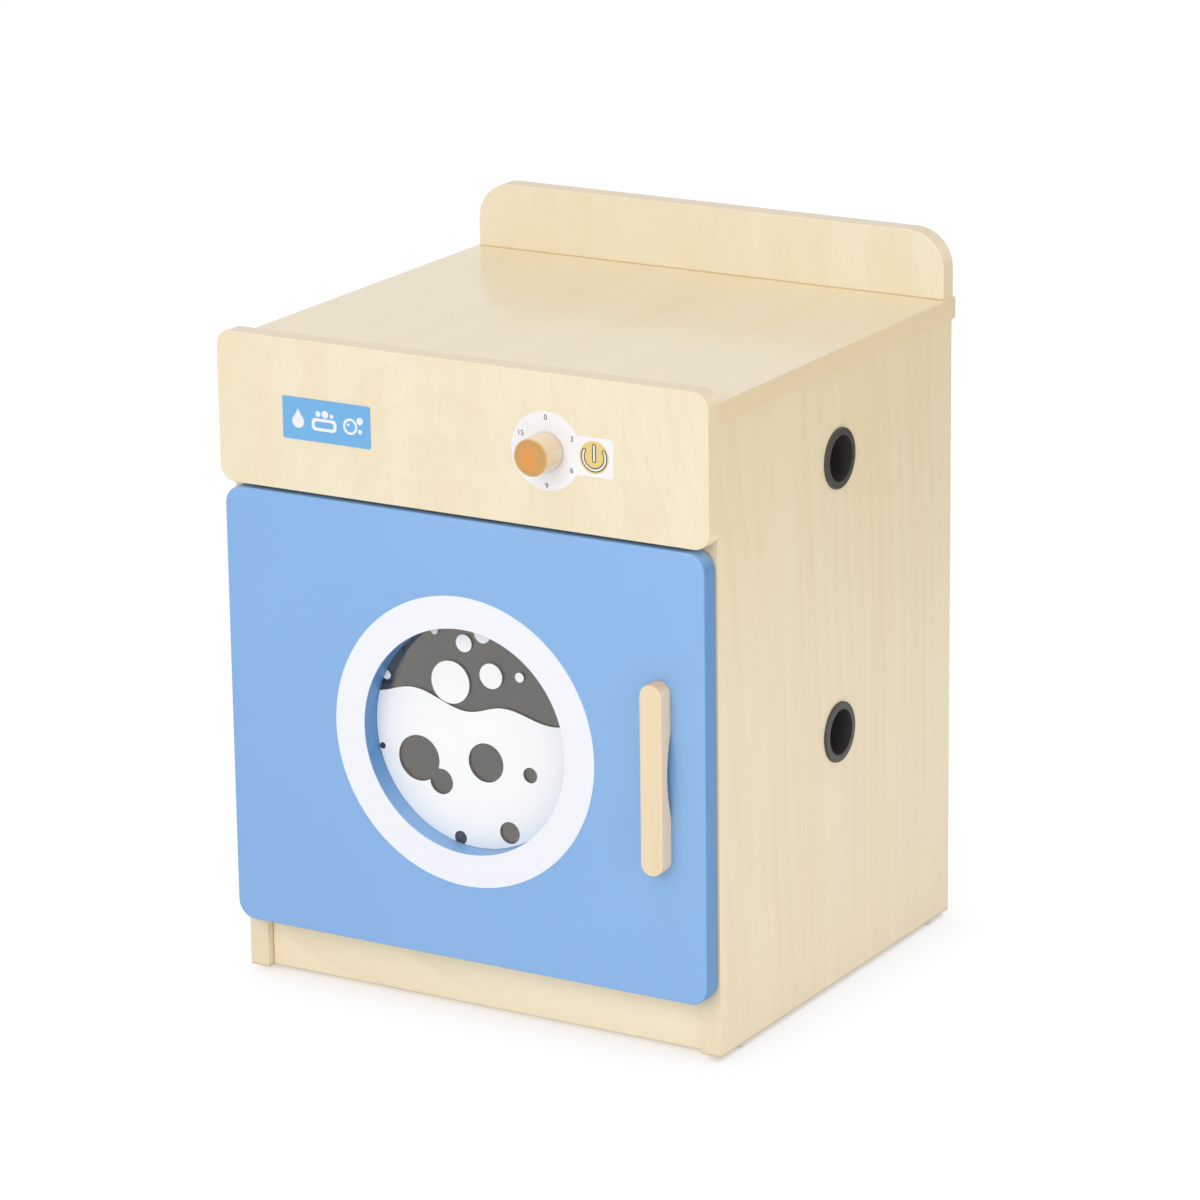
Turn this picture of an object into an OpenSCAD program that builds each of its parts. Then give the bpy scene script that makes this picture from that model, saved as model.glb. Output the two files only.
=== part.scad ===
// Toy washing machine for a play kitchen: a cabinet of laminated boards joined with cams and dowels,
// a hinged door with a round window, and a turning knob on the fascia.
// Every sub-part is drawn where it sits. Its own heights and depths are counted from the bottom and
// the front edges of the side panels, and in_frame() moves that point to the origin of the whole part.

/* [Cabinet] */
// Width over the outer faces of the side panels
cabinet_w = 400; // [360:1:460]
// Depth of the side panels, front to back
side_depth = 353; // [320:1:420]
// Height of the side panels
side_h = 462; // [440:1:520]
// Thickness of the cabinet boards
board_t = 16; // [15:0.5:19]
// How far the top reaches past the sides and the back
top_overhang = 2; // [1:0.5:6]
// Height of the kickboard
kick_h = 44; // [36:1:54]
// How far the kickboard lies behind the front edges of the sides
kick_recess = 6; // [3:1:20]
// Gap at each end of the kickboard
kick_end_gap = 0.25; // [0.1:0.05:0.4]
// Thickness of the back panel
back_t = 4; // [3:0.5:6]
// Width of the rebate that takes the back panel
rebate_w = 8; // [6:0.5:9]

/* [Fascia and splash board] */
// Height of the fascia
fascia_h = 112; // [100:1:124]
// How far the fascia rises above the top
fascia_rise = 10; // [4:1:20]
// Corner radius of the fascia
fascia_corner_r = 12; // [6:1:20]
// Height of the splash board
splash_h = 50.5; // [40:0.5:80]
// Radius of the splash board's upper corners
splash_corner_r = 29; // [10:1:36]
// Chamfer along the splash board's foot
foot_chamfer = 0.8; // [0.4:0.1:2]
// Rounding of the fascia's and the splash board's edges
board_ease = 1; // [0.5:0.1:2]
// Side of the square battens that carry the fascia
batten_t = 20; // [18:1:24]
// Length of a batten
batten_len = 70; // [60:1:76]

/* [Door] */
// Thickness of the door
door_t = 16; // [14:0.5:19]
// Gap between the door and the front edges of the cabinet
door_gap = 0.5; // [0.4:0.05:0.6]
// How far the door stays inside the outer faces at each side
door_margin = 1.5; // [1:0.1:2]
// Height of the door's lower edge
door_bottom = 42.5; // [38:0.5:60]
// Gap between the door's upper edge and the fascia
door_top_gap = 2.8; // [2:0.1:6]
// Corner radius of the door
door_corner_r = 14; // [6:1:20]
// Rounding of the door's outer edges
door_ease = 2; // [0.5:0.1:3]
// Radius of the round window hole
window_r = 84; // [74:1:88]
// How far the window's middle lies to the right of the door's middle
window_right = 1; // [0:0.1:4]
// How far the window's middle lies above the door's middle
window_rise = 0.5; // [0:0.1:4]
// Width of the white ring round the window
ring_w = 24; // [12:1:30]
// Thickness of the white ring
ring_t = 0.5; // [0.3:0.1:1.5]
// Thickness of the clear pane
pane_t = 3; // [2:0.5:4]
// How far the pane reaches past the hole
pane_lap = 16; // [14:1:20]
// Thickness of the print on the pane
print_t = 0.2; // [0.1:0.05:0.4]

/* [Handle] */
// Length of the handle
handle_len = 140; // [120:1:170]
// Width of the handle
handle_w = 17.4; // [14:0.1:22]
// Thickness of the handle
handle_t = 14; // [12:0.5:18]
// Rounding of the handle's edges
handle_ease = 1; // [0.5:0.1:2]
// Distance of the handle's middle from the door's free edge
handle_inset = 36; // [30:1:50]
// How far the handle's middle lies above the door's middle
handle_rise = 1; // [0:0.1:4]
// Length of the finger cut in the handle's back
finger_len = 70; // [50:1:74]
// How far the finger cut's middle lies above the handle's middle
finger_rise = 1.5; // [0:0.1:4]
// Depth of the finger cut
finger_depth = 6; // [4.5:0.5:7]

/* [Knob and dial] */
// Radius of the knob
knob_r = 13.5; // [11:0.5:18]
// Length of the knob
knob_len = 21; // [15:0.5:30]
// Distance of the knob's axis from the fascia's right end
knob_inset = 128.5; // [112:0.5:160]
// Radius of the round part of the dial sticker
dial_r = 28.5; // [26:0.5:34]
// Height of the tab of the dial sticker
tab_h = 28.2; // [26:0.2:34]
// How far the tab reaches from the knob's axis
tab_reach = 54; // [52:0.5:62]
// Thickness of the stickers
sticker_t = 0.4; // [0.2:0.1:0.8]
// Radius of the yellow power disc
power_r = 11.7; // [9:0.1:13]
// Distance of the power disc from the knob's axis
power_x = 38.5; // [38:0.5:42]
// Width of the blue label
label_w = 74.2; // [50:0.2:90]
// Height of the blue label
label_h = 31; // [20:1:40]
// Distance of the label from the fascia's left end
label_inset = 56; // [20:0.5:80]
// How far the label's middle lies below the knob's axis
label_drop = 1.7; // [0:0.1:4]

/* [Grommets and glides] */
// Radius of the hole through a grommet
grommet_bore_r = 17; // [12:0.5:20]
// Wall of the grommet's sleeve
grommet_wall = 3; // [2:0.5:4]
// Radius of the grommet's flange
grommet_flange_r = 22.5; // [22:0.1:28]
// Thickness of the grommet's flange
grommet_flange_t = 2; // [1:0.5:2]
// Distance of the upper grommet from the top edge of the side panel
grommet_drop = 65; // [50:1:90]
// Distance of the lower grommet from the upper one
grommet_step = 205; // [160:1:240]
// Radius of a glide
glide_r = 8; // [6:0.5:8]
// Height of a glide
glide_h = 4; // [3:0.5:8]
// Distance of the front glides from the front
glide_front = 36; // [20:1:60]
// Distance of the rear glides from the back
glide_rear = 26; // [20:1:60]

/* [Hinges] */
// Length of a hinge
hinge_len = 50; // [40:1:60]
// Width of one hinge leaf, from the knuckle
leaf_w = 11; // [9:0.5:12]
// Thickness of a hinge leaf
leaf_t = 1.2; // [1:0.1:1.5]
// Radius of the hinge knuckles
knuckle_r = 2.25; // [2.1:0.05:2.4]
// Radius of the hinge pin
pin_r = 1.2; // [1:0.05:1.4]
// Distance of each hinge's middle from the door's upper or lower edge
hinge_inset = 50; // [40:1:70]

/* [Catch] */
// Width of the catch housing, out from the side panel
catch_w = 14; // [12:0.5:16]
// Depth of the catch housing, front to back
catch_depth = 16; // [14:0.5:20]
// Length of the catch housing, up and down
catch_len = 46; // [42:1:52]
// Distance of the catch's middle from the door's upper edge
catch_drop = 32.5; // [28:0.5:60]
// Thickness of the strike plate
strike_t = 1.2; // [1:0.1:1.5]

/* [Fittings] */
// Radius of a cam housing
cam_r = 7.5; // [6:0.5:7.5]
// Depth of a cam housing in its board
cam_depth = 12.5; // [11:0.5:13]
// Distance of a cam from the edge of its board
cam_inset = 34; // [24:1:36]
// Distance of the cams from the front and the back
cam_edge = 50; // [36:1:60]
// Radius of a cam bolt's shank
cam_bolt_r = 3.5; // [3:0.25:3.5]
// Length of a cam bolt's thread in the other board
cam_thread_len = 11; // [8:0.5:12]
// Radius of a dowel
dowel_r = 4; // [3:0.5:4]
// Length of a dowel
dowel_len = 30; // [25:1:35]
// Depth of a dowel in the face of a board
dowel_face_depth = 10; // [8:0.5:12]
// Distance of the dowels from the cams
dowel_step = 32; // [20:1:50]
// Distance of the kickboard's dowels from its edges
kick_dowel_inset = 12; // [8:0.5:14]
// Radius of the long screws' shanks
screw_r = 2; // [1.5:0.1:2.2]
// Radius of the small screws' shanks
small_screw_r = 1.4; // [1.2:0.1:1.6]
// Clearance round a fixed piece in its hole
fit_gap = 0.05; // [0.03:0.01:0.1]
// Clearance round a turning pin or shaft
run_gap = 0.05; // [0.03:0.01:0.08]

/* [Hidden] */
$fn = 64;
// Overshoot of a cutting shape past the face that it cuts
cut = 1;

// Colours as the object shows them
maple = [0.94, 0.88, 0.76];
beech = [0.93, 0.82, 0.65];
door_blue = [0.56, 0.73, 0.91];
label_blue = [0.47, 0.72, 0.90];
print_white = [0.95, 0.96, 0.98];
steel = [0.72, 0.72, 0.74];
zinc = [0.60, 0.61, 0.63];
black_plastic = [0.20, 0.20, 0.20];
pale_plastic = [0.85, 0.85, 0.83];

// Cabinet places
half_w = cabinet_w / 2;
inner_x = half_w - board_t;
mid_x = half_w - board_t / 2;
top_z = side_h + board_t;
top_half_w = half_w + top_overhang;
top_depth = side_depth + top_overhang;
back_y = side_depth - back_t;
fascia_top = top_z + fascia_rise;
fascia_bottom = fascia_top - fascia_h;
fascia_mid_z = (fascia_top + fascia_bottom) / 2;
floor_z = kick_h + board_t;
kick_mid_y = kick_recess + board_t / 2;
kick_half_w = inner_x - kick_end_gap;
splash_y = top_depth - board_t;

// Door places
door_left = -half_w + door_margin;
door_right = half_w - door_margin;
door_top = fascia_bottom - door_top_gap;
door_mid_x = (door_left + door_right) / 2;
door_mid_z = (door_top + door_bottom) / 2;
window_x = door_mid_x + window_right;
window_z = door_mid_z + window_rise;
handle_z = door_mid_z + handle_rise;
door_back_y = -door_gap;
door_front_y = door_back_y - door_t;
handle_x = door_right - handle_inset;
handle_front_y = door_front_y - handle_t;

// Knob stack, from the fascia's face outwards
knob_x = top_half_w - knob_inset;
knob_z = fascia_mid_z;
label_x = -top_half_w + label_inset + label_w / 2;
label_z = knob_z - label_drop;
washer_t = 0.6;
rear_washer_t = 1;
front_washer_r = 8;
rear_washer_r = 7;
end_play = 0.1;
sleeve_r = 4;
dial_front_y = -board_t - sticker_t;
knob_back_y = dial_front_y - washer_t - end_play;
knob_front_y = knob_back_y - knob_len;
knob_chamfer = 0.8;
knob_screw_depth = 14;
tab_corner_r = 3;
label_corner_r = 1.5;

// Hinge axis: outside the seam, just inside the top's overhang
hinge_axis_x = -half_w - top_overhang + knuckle_r;
hinge_axis_y = -door_gap / 2;
hinge_zs = [door_bottom + hinge_inset, door_top - hinge_inset];
leaf_split = 0.15;
knuckle_clear = 0.3;
knuckle_count = 5;
knuckle_step = hinge_len / knuckle_count;
knuckle_gap = 0.2;
leaf_start_x = hinge_axis_x + knuckle_r + knuckle_clear;
leaf_end_x = leaf_start_x + leaf_w;
pin_head_r = 1.8;
pin_head_h = 0.8;
hinge_screw_step = 17;
hinge_screw_len = 13;
hinge_screw_x = leaf_start_x + leaf_w * 0.55;

// Catch: the strike plate on the door, the pole faces just behind it
strike_w = 12;
strike_len = 38;
strike_back_y = door_back_y + strike_t;
pole_y = strike_back_y + 0.1;
catch_front_y = pole_y + 0.8;
catch_mid_x = inner_x - catch_w / 2;
pole_t = 1.2;
magnet_t = 5;
magnet_len = 26;
magnet_depth = 9;
catch_screw_back = 11.5;
catch_screw_y = catch_front_y + catch_screw_back;
catch_z = door_top - catch_drop;
catch_screw_step = 36;
catch_screw_depth = 9;
strike_screw_step = 28;
strike_screw_depth = 9;
small_head_r = 2.7;
small_head_h = 1.2;

// Fittings
cam_bolt_gap = 0.1;
cam_thread_r = 2.5;
cam_ys = [cam_edge, side_depth - cam_edge];
dowel_ys = [cam_edge + dowel_step, side_depth - cam_edge - dowel_step];
dowel_edge_depth = dowel_len - dowel_face_depth;
kick_dowel_zs = [kick_dowel_inset, kick_h - kick_dowel_inset];
pan_head_r = 3.6;
pan_head_h = 2.2;
knob_head_r = 4;
knob_head_h = 3;
long_screw_len = 30;
batten_drop = 8;
batten_z = fascia_mid_z - batten_drop;
fascia_screw_step = 44;
fascia_screw_zs = [batten_z - fascia_screw_step / 2, batten_z + fascia_screw_step / 2];
batten_screw_step = 20;
batten_screw_zs = [batten_z - batten_screw_step / 2, batten_z + batten_screw_step / 2];
batten_mid_x = inner_x - batten_t / 2;
splash_screw_xs = [-cabinet_w * 0.375, 0, cabinet_w * 0.375];
splash_screw_depth = 25;
csk_r = 4;
csk_h = 2.2;
back_screw_len = 12;
back_side_zs = [side_h * 0.07, side_h * 0.35, side_h * 0.65, side_h * 0.93];
back_floor_xs = [-inner_x / 2, inner_x / 2];
back_screw_x = half_w - board_t + rebate_w / 2;
pane_screw_count = 6;
pane_screw_r = window_r + pane_lap / 2;
pane_screw_len = 12;
pane_screw_spots = [for (i = [0 : pane_screw_count - 1])
    let (a = 360 * (i + 0.5) / pane_screw_count)
    [window_x + pane_screw_r * cos(a), window_z + pane_screw_r * sin(a)]];
handle_screw_step = (handle_len + finger_len) / 2;
handle_screw_depth = 9;
nail_r = 1;
nail_len = 14;
nail_cup = 1.4;
glide_flat_r = 4.5;
grommet_sleeve_r = grommet_bore_r + grommet_wall;
grommet_zs = [side_h - grommet_drop, side_h - grommet_drop - grommet_step];
grommet_y = side_depth / 2;

// The whole part's box: the knob is the foremost point, the top and splash board the rearmost
frame_y = -(knob_front_y + top_depth) / 2;

// Moves the cabinet's own zero point to its place in the part's frame
module in_frame() translate([0, frame_y, glide_h]) children();

// One copy at each side of the cabinet, the left one mirrored
module both_sides() {
    children();
    mirror([1, 0, 0]) children();
}

// A board from corner a to corner b
module board(a, b) translate(a) cube(b - a);

// An extrusion towards the front: the outline is drawn in x and z, and spans y0 to y1
module slab(y0, y1) translate([0, y1, 0]) rotate([90, 0, 0]) linear_extrude(y1 - y0) children();

// A rectangle with its four corners rounded
module rounded_rect(x0, x1, z0, z1, r) {
    translate([x0 + r, z0]) square([x1 - x0 - 2 * r, z1 - z0]);
    translate([x0, z0 + r]) square([x1 - x0, z1 - z0 - 2 * r]);
    for (x = [x0 + r, x1 - r], z = [z0 + r, z1 - r]) translate([x, z]) circle(r);
}

// A disc from y0 to y1 with its rims rounded, centred at x and z
module eased_disc(x, z, y0, y1, r, ease) translate([x, 0, z]) rotate([-90, 0, 0]) rotate_extrude() {
    translate([0, y0]) square([r - ease, y1 - y0]);
    translate([0, y0 + ease]) square([r, y1 - y0 - 2 * ease]);
    for (y = [y0 + ease, y1 - ease]) translate([r - ease, y]) circle(ease);
}

// An upright bar with its four long edges rounded
module eased_bar(x0, x1, z0, z1, y0, y1, ease) translate([0, 0, z0]) linear_extrude(z1 - z0)
    rounded_rect(x0, x1, y0, y1, ease);

// A board that stands facing the front: corners of radius r, and every edge rounded
module eased_board(x0, x1, z0, z1, y0, y1, r, ease) {
    eased_bar(x0, x1, z0 + r, z1 - r, y0, y1, ease);
    translate([x0 + r, 0, 0]) rotate([90, 0, 90]) linear_extrude(x1 - x0 - 2 * r)
        rounded_rect(y0, y1, z0, z1, ease);
    for (x = [x0 + r, x1 - r], z = [z0 + r, z1 - r]) eased_disc(x, z, y0, y1, r, ease);
}

// A rod along y from y0 to y1, centred at x and z
module rod_y(x, z, y0, y1, r) translate([x, y1, z]) rotate([90, 0, 0]) cylinder(h = y1 - y0, r = r);

// A cone along y, radius r0 at y0 and r1 at y1
module cone_y(x, z, y0, y1, r0, r1) translate([x, y0, z]) rotate([-90, 0, 0])
    cylinder(h = y1 - y0, r1 = r0, r2 = r1);

// A rod along x from x0 to x1, centred at y and z
module rod_x(y, z, x0, x1, r) translate([x0, y, z]) rotate([0, 90, 0]) cylinder(h = x1 - x0, r = r);

// A rod along z from z0 to z1, centred at x and y
module rod_z(x, y, z0, z1, r) translate([x, y, z0]) cylinder(h = z1 - z0, r = r);

// A cone along z, radius r0 at z0 and r1 at z1
module cone_z(x, y, z0, z1, r0, r1) translate([x, y, z0]) cylinder(h = z1 - z0, r1 = r0, r2 = r1);

// The right side panel, with every hole that both side panels share
module side_panel() {
    difference() {
        board([inner_x, 0, 0], [half_w, side_depth, side_h]);
        // Rebate for the back panel
        board([inner_x - cut, back_y, -cut], [inner_x + rebate_w, side_depth + cut, side_h + cut]);
        for (z = grommet_zs) rod_x(grommet_y, z, inner_x - cut, half_w + cut, grommet_sleeve_r + fit_gap);
        // Cam and bolt bores that pull the top down
        for (y = cam_ys) {
            rod_x(y, side_h - cam_inset, inner_x - cut, inner_x + cam_depth, cam_r + fit_gap);
            rod_z(mid_x, y, side_h - cam_inset, side_h + cut, cam_bolt_r + cam_bolt_gap);
            rod_x(y, kick_h + board_t / 2, inner_x - cut, inner_x + cam_thread_len, cam_thread_r + fit_gap);
        }
        for (y = dowel_ys) {
            rod_z(mid_x, y, side_h - dowel_edge_depth, side_h + cut, dowel_r + fit_gap);
            rod_x(y, kick_h + board_t / 2, inner_x - cut, inner_x + dowel_face_depth, dowel_r + fit_gap);
        }
        for (z = kick_dowel_zs)
            rod_x(kick_mid_y, z, inner_x - cut, inner_x + dowel_face_depth, dowel_r + fit_gap);
        for (z = batten_screw_zs)
            rod_x(batten_t / 2, z, inner_x - cut, inner_x + long_screw_len - batten_t, screw_r + fit_gap);
        for (z = back_side_zs)
            rod_y(back_screw_x, z, side_depth - back_screw_len, side_depth + cut, small_screw_r + fit_gap);
        for (y = [glide_front, side_depth - glide_rear]) rod_z(mid_x, y, -cut, nail_len, nail_r + fit_gap);
    }
}

module side_panel_right() color(maple) in_frame() difference() {
    side_panel();
    // Pilot holes of the catch screws
    for (s = [-1, 1])
        rod_x(catch_screw_y, catch_z + s * catch_screw_step / 2, inner_x - cut, inner_x + catch_screw_depth,
            small_screw_r + fit_gap);
}

module side_panel_left() color(maple) in_frame() difference() {
    mirror([1, 0, 0]) side_panel();
    for (z = hinge_zs) hinge_recess(z, -cut, hinge_axis_y + leaf_split + leaf_t, hinge_axis_y, 1);
    hinge_pilots(hinge_axis_y + leaf_split + leaf_t - cut, hinge_axis_y + leaf_split + hinge_screw_len);
}

// Pocket for one leaf and the knuckles: from y0 to y1, with the knuckles' clearance on side dir
module hinge_recess(z, y0, y1, axis_y, dir) {
    gap = 0.2;
    outer_x = -half_w - cut;
    board([outer_x, min(y0, y1), z - hinge_len / 2 - gap],
        [leaf_end_x + gap, max(y0, y1), z + hinge_len / 2 + gap]);
    reach = knuckle_r + knuckle_clear;
    half_len = hinge_len / 2 + pin_head_h + gap;
    board([outer_x, min(axis_y, axis_y + dir * reach), z - half_len],
        [hinge_axis_x + reach, max(axis_y, axis_y + dir * reach), z + half_len]);
}

// Pilot holes of the screws in one board's leaf pockets
module hinge_pilots(y0, y1) for (z = hinge_zs, s = [-1, 0, 1])
    rod_y(hinge_screw_x, z + s * hinge_screw_step, y0, y1, small_screw_r + fit_gap);

module top_panel() color(maple) in_frame() difference() {
    board([-top_half_w, 0, side_h], [top_half_w, top_depth, top_z]);
    both_sides() {
        for (y = cam_ys) rod_z(mid_x, y, side_h - cut, side_h + cam_thread_len, cam_thread_r + fit_gap);
        for (y = dowel_ys) rod_z(mid_x, y, side_h - cut, side_h + dowel_face_depth, dowel_r + fit_gap);
    }
    for (x = splash_screw_xs) {
        rod_z(x, splash_y + board_t / 2, side_h - cut, top_z + cut, screw_r + fit_gap);
        cone_z(x, splash_y + board_t / 2, side_h, side_h + csk_h, csk_r + fit_gap, screw_r + fit_gap);
    }
}

module bottom_panel() color(maple) in_frame() difference() {
    board([-inner_x, 0, kick_h], [inner_x, back_y, floor_z]);
    both_sides() {
        for (y = cam_ys) {
            rod_z(inner_x - cam_inset, y, kick_h - cut, kick_h + cam_depth, cam_r + fit_gap);
            rod_x(y, kick_h + board_t / 2, inner_x - cam_inset, inner_x + cut, cam_bolt_r + cam_bolt_gap);
        }
        for (y = dowel_ys)
            rod_x(y, kick_h + board_t / 2, inner_x - dowel_edge_depth, inner_x + cut, dowel_r + fit_gap);
    }
    for (x = back_floor_xs)
        rod_y(x, kick_h + board_t / 2, side_depth - back_screw_len, back_y + cut, small_screw_r + fit_gap);
}

module back_panel() color([0.88, 0.80, 0.66]) in_frame() difference() {
    board([-inner_x - rebate_w, back_y, 0], [inner_x + rebate_w, side_depth, side_h]);
    both_sides() for (z = back_side_zs)
        rod_y(back_screw_x, z, back_y - cut, side_depth + cut, small_screw_r + fit_gap);
    for (x = back_floor_xs)
        rod_y(x, kick_h + board_t / 2, back_y - cut, side_depth + cut, small_screw_r + fit_gap);
}

module kickboard() color(maple) in_frame() difference() {
    board([-kick_half_w, kick_recess, 0], [kick_half_w, kick_recess + board_t, kick_h]);
    both_sides() for (z = kick_dowel_zs)
        rod_x(kick_mid_y, z, inner_x - dowel_edge_depth, inner_x + cut, dowel_r + fit_gap);
}

module fascia_panel() color(maple) in_frame() difference() {
    eased_board(-top_half_w, top_half_w, fascia_bottom, fascia_top, -board_t, 0, fascia_corner_r, board_ease);
    rod_y(knob_x, knob_z, -board_t - cut, cut, sleeve_r + fit_gap);
    both_sides() for (z = fascia_screw_zs)
        rod_y(batten_mid_x, z, batten_t - long_screw_len, cut, screw_r + fit_gap);
}

module splash_board() color(maple) in_frame() difference() {
    intersection() {
        eased_board(-half_w, half_w, top_z - splash_h, top_z + splash_h, splash_y, top_depth,
            splash_corner_r, board_ease);
        board([-half_w, splash_y, top_z], [half_w, top_depth, top_z + splash_h]);
    }
    for (s = [[splash_y, 1], [top_depth, -1]])
        translate([-top_half_w, 0, 0]) rotate([90, 0, 90]) linear_extrude(2 * top_half_w) polygon([
            [s[0] - s[1] * cut, top_z - cut],
            [s[0] + s[1] * (foot_chamfer + cut), top_z - cut],
            [s[0] - s[1] * cut, top_z + foot_chamfer + cut]]);
    for (x = splash_screw_xs)
        rod_z(x, splash_y + board_t / 2, top_z - cut, top_z + splash_screw_depth, screw_r + fit_gap);
}

module fascia_battens() color(beech) in_frame() both_sides() difference() {
    board([inner_x - batten_t, 0, batten_z - batten_len / 2], [inner_x, batten_t, batten_z + batten_len / 2]);
    for (z = fascia_screw_zs) rod_y(batten_mid_x, z, -cut, batten_t + cut, screw_r + fit_gap);
    for (z = batten_screw_zs)
        rod_x(batten_t / 2, z, inner_x - batten_t - cut, inner_x + cut, screw_r + fit_gap);
}

// Pan-head screws through the battens into the fascia
module fascia_screws() color(zinc) in_frame() both_sides() for (z = fascia_screw_zs) {
    rod_y(batten_mid_x, z, batten_t - long_screw_len, batten_t + fit_gap, screw_r);
    rod_y(batten_mid_x, z, batten_t, batten_t + pan_head_h, pan_head_r);
}

// Pan-head screws through the battens into the side panels
module batten_screws() color(zinc) in_frame() both_sides() for (z = batten_screw_zs) {
    rod_x(batten_t / 2, z, inner_x - batten_t - fit_gap, inner_x - batten_t + long_screw_len, screw_r);
    rod_x(batten_t / 2, z, inner_x - batten_t - pan_head_h, inner_x - batten_t, pan_head_r);
}

// Countersunk screws up through the top into the splash board
module splash_screws() color(zinc) in_frame() for (x = splash_screw_xs) {
    rod_z(x, splash_y + board_t / 2, side_h + csk_h / 2, top_z + splash_screw_depth, screw_r);
    cone_z(x, splash_y + board_t / 2, side_h, side_h + csk_h, csk_r, screw_r);
}

module back_screw(x, z) {
    rod_y(x, z, side_depth - back_screw_len, side_depth + fit_gap, small_screw_r);
    rod_y(x, z, side_depth, side_depth + small_head_h, small_head_r);
}

module back_screws() color(zinc) in_frame() {
    both_sides() for (z = back_side_zs) back_screw(back_screw_x, z);
    for (x = back_floor_xs) back_screw(x, kick_h + board_t / 2);
}

module top_dowels() color(beech) in_frame() both_sides() for (y = dowel_ys)
    rod_z(mid_x, y, side_h - dowel_edge_depth, side_h + dowel_face_depth, dowel_r);

module bottom_dowels() color(beech) in_frame() both_sides() for (y = dowel_ys)
    rod_x(y, kick_h + board_t / 2, inner_x - dowel_edge_depth, inner_x + dowel_face_depth, dowel_r);

module kick_dowels() color(beech) in_frame() both_sides() for (z = kick_dowel_zs)
    rod_x(kick_mid_y, z, inner_x - dowel_edge_depth, inner_x + dowel_face_depth, dowel_r);

// Cross slot in a cam's face, at the origin, open towards +z
module cam_slot() for (a = [0, 90]) rotate([0, 0, a])
    translate([-cam_r * 0.6, -cam_r / 10, -cam_depth * 0.2]) cube([cam_r * 1.2, cam_r / 5, cam_depth]);

module top_cams() color(zinc) in_frame() both_sides() for (y = cam_ys) difference() {
    rod_x(y, side_h - cam_inset, inner_x, inner_x + cam_depth, cam_r);
    rod_z(mid_x, y, side_h - cam_inset - cam_bolt_r, side_h, cam_bolt_r + cam_bolt_gap);
    translate([inner_x, y, side_h - cam_inset]) rotate([0, -90, 0]) cam_slot();
}

module top_cam_bolts() color(steel) in_frame() both_sides() for (y = cam_ys) {
    rod_z(mid_x, y, side_h - cam_inset - cam_bolt_r + cam_bolt_gap, side_h, cam_bolt_r);
    rod_z(mid_x, y, side_h - cut, side_h + cam_thread_len, cam_thread_r);
}

module bottom_cams() color(zinc) in_frame() both_sides() for (y = cam_ys) difference() {
    rod_z(inner_x - cam_inset, y, kick_h, kick_h + cam_depth, cam_r);
    rod_x(y, kick_h + board_t / 2, inner_x - cam_inset - cam_bolt_r, inner_x, cam_bolt_r + cam_bolt_gap);
    translate([inner_x - cam_inset, y, kick_h]) rotate([180, 0, 0]) cam_slot();
}

module bottom_cam_bolts() color(steel) in_frame() both_sides() for (y = cam_ys) {
    rod_x(y, kick_h + board_t / 2, inner_x - cam_inset - cam_bolt_r + cam_bolt_gap, inner_x, cam_bolt_r);
    rod_x(y, kick_h + board_t / 2, inner_x - cut, inner_x + cam_thread_len, cam_thread_r);
}

// The right grommets: a flange with an eased rim on a sleeve that lines the side panel
module grommet_pair() for (z = grommet_zs) translate([inner_x, grommet_y, z]) rotate([0, 90, 0])
    rotate_extrude($fn = 96) {
        ease = grommet_flange_t / 2;
        translate([grommet_bore_r, 0]) square([grommet_wall, board_t + grommet_flange_t]);
        polygon([[grommet_bore_r, board_t], [grommet_flange_r, board_t],
            for (a = [0 : 15 : 90])
                [grommet_flange_r - ease + ease * cos(a), board_t + grommet_flange_t - ease + ease * sin(a)],
            [grommet_bore_r, board_t + grommet_flange_t]]);
    }

module grommets_right() color(black_plastic) in_frame() grommet_pair();

module grommets_left() color(black_plastic) in_frame() mirror([1, 0, 0]) grommet_pair();

// Domed glides with a flat foot and a blind bore for the nail
module glides() color(pale_plastic) in_frame() both_sides() for (y = [glide_front, side_depth - glide_rear])
    translate([mid_x, y, -glide_h]) difference() {
        rotate_extrude() polygon([[0, 0],
            for (a = [0 : 15 : 90])
                [glide_flat_r + (glide_r - glide_flat_r) * sin(a), glide_h * (1 - cos(a))],
            [0, glide_h]]);
        translate([0, 0, nail_cup]) cylinder(h = glide_h, r = nail_r + fit_gap);
    }

module glide_nails() color(steel) in_frame() both_sides() for (y = [glide_front, side_depth - glide_rear])
    rod_z(mid_x, y, nail_cup - glide_h + fit_gap, nail_len, nail_r);

module label_plate() color(label_blue) in_frame() slab(dial_front_y, -board_t)
    rounded_rect(label_x - label_w / 2, label_x + label_w / 2, label_z - label_h / 2, label_z + label_h / 2,
        label_corner_r);

module dial_plate() color(print_white) in_frame() difference() {
    slab(dial_front_y, -board_t) {
        translate([knob_x, knob_z]) circle(dial_r, $fn = 128);
        rounded_rect(knob_x + dial_r / 2, knob_x + tab_reach, knob_z - tab_h / 2, knob_z + tab_h / 2,
            tab_corner_r);
    }
    rod_y(knob_x, knob_z, dial_front_y - cut, -board_t + cut, sleeve_r + fit_gap);
}

module power_disc() color([0.93, 0.84, 0.51]) in_frame()
    rod_y(knob_x + power_x, knob_z, dial_front_y - sticker_t / 4, dial_front_y, power_r);

// Plain sleeve that lines the fascia and the dial sticker round the knob's screw
module knob_sleeve() color(pale_plastic) in_frame() difference() {
    rod_y(knob_x, knob_z, dial_front_y, 0, sleeve_r);
    rod_y(knob_x, knob_z, dial_front_y - cut, cut, screw_r + run_gap);
}

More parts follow.
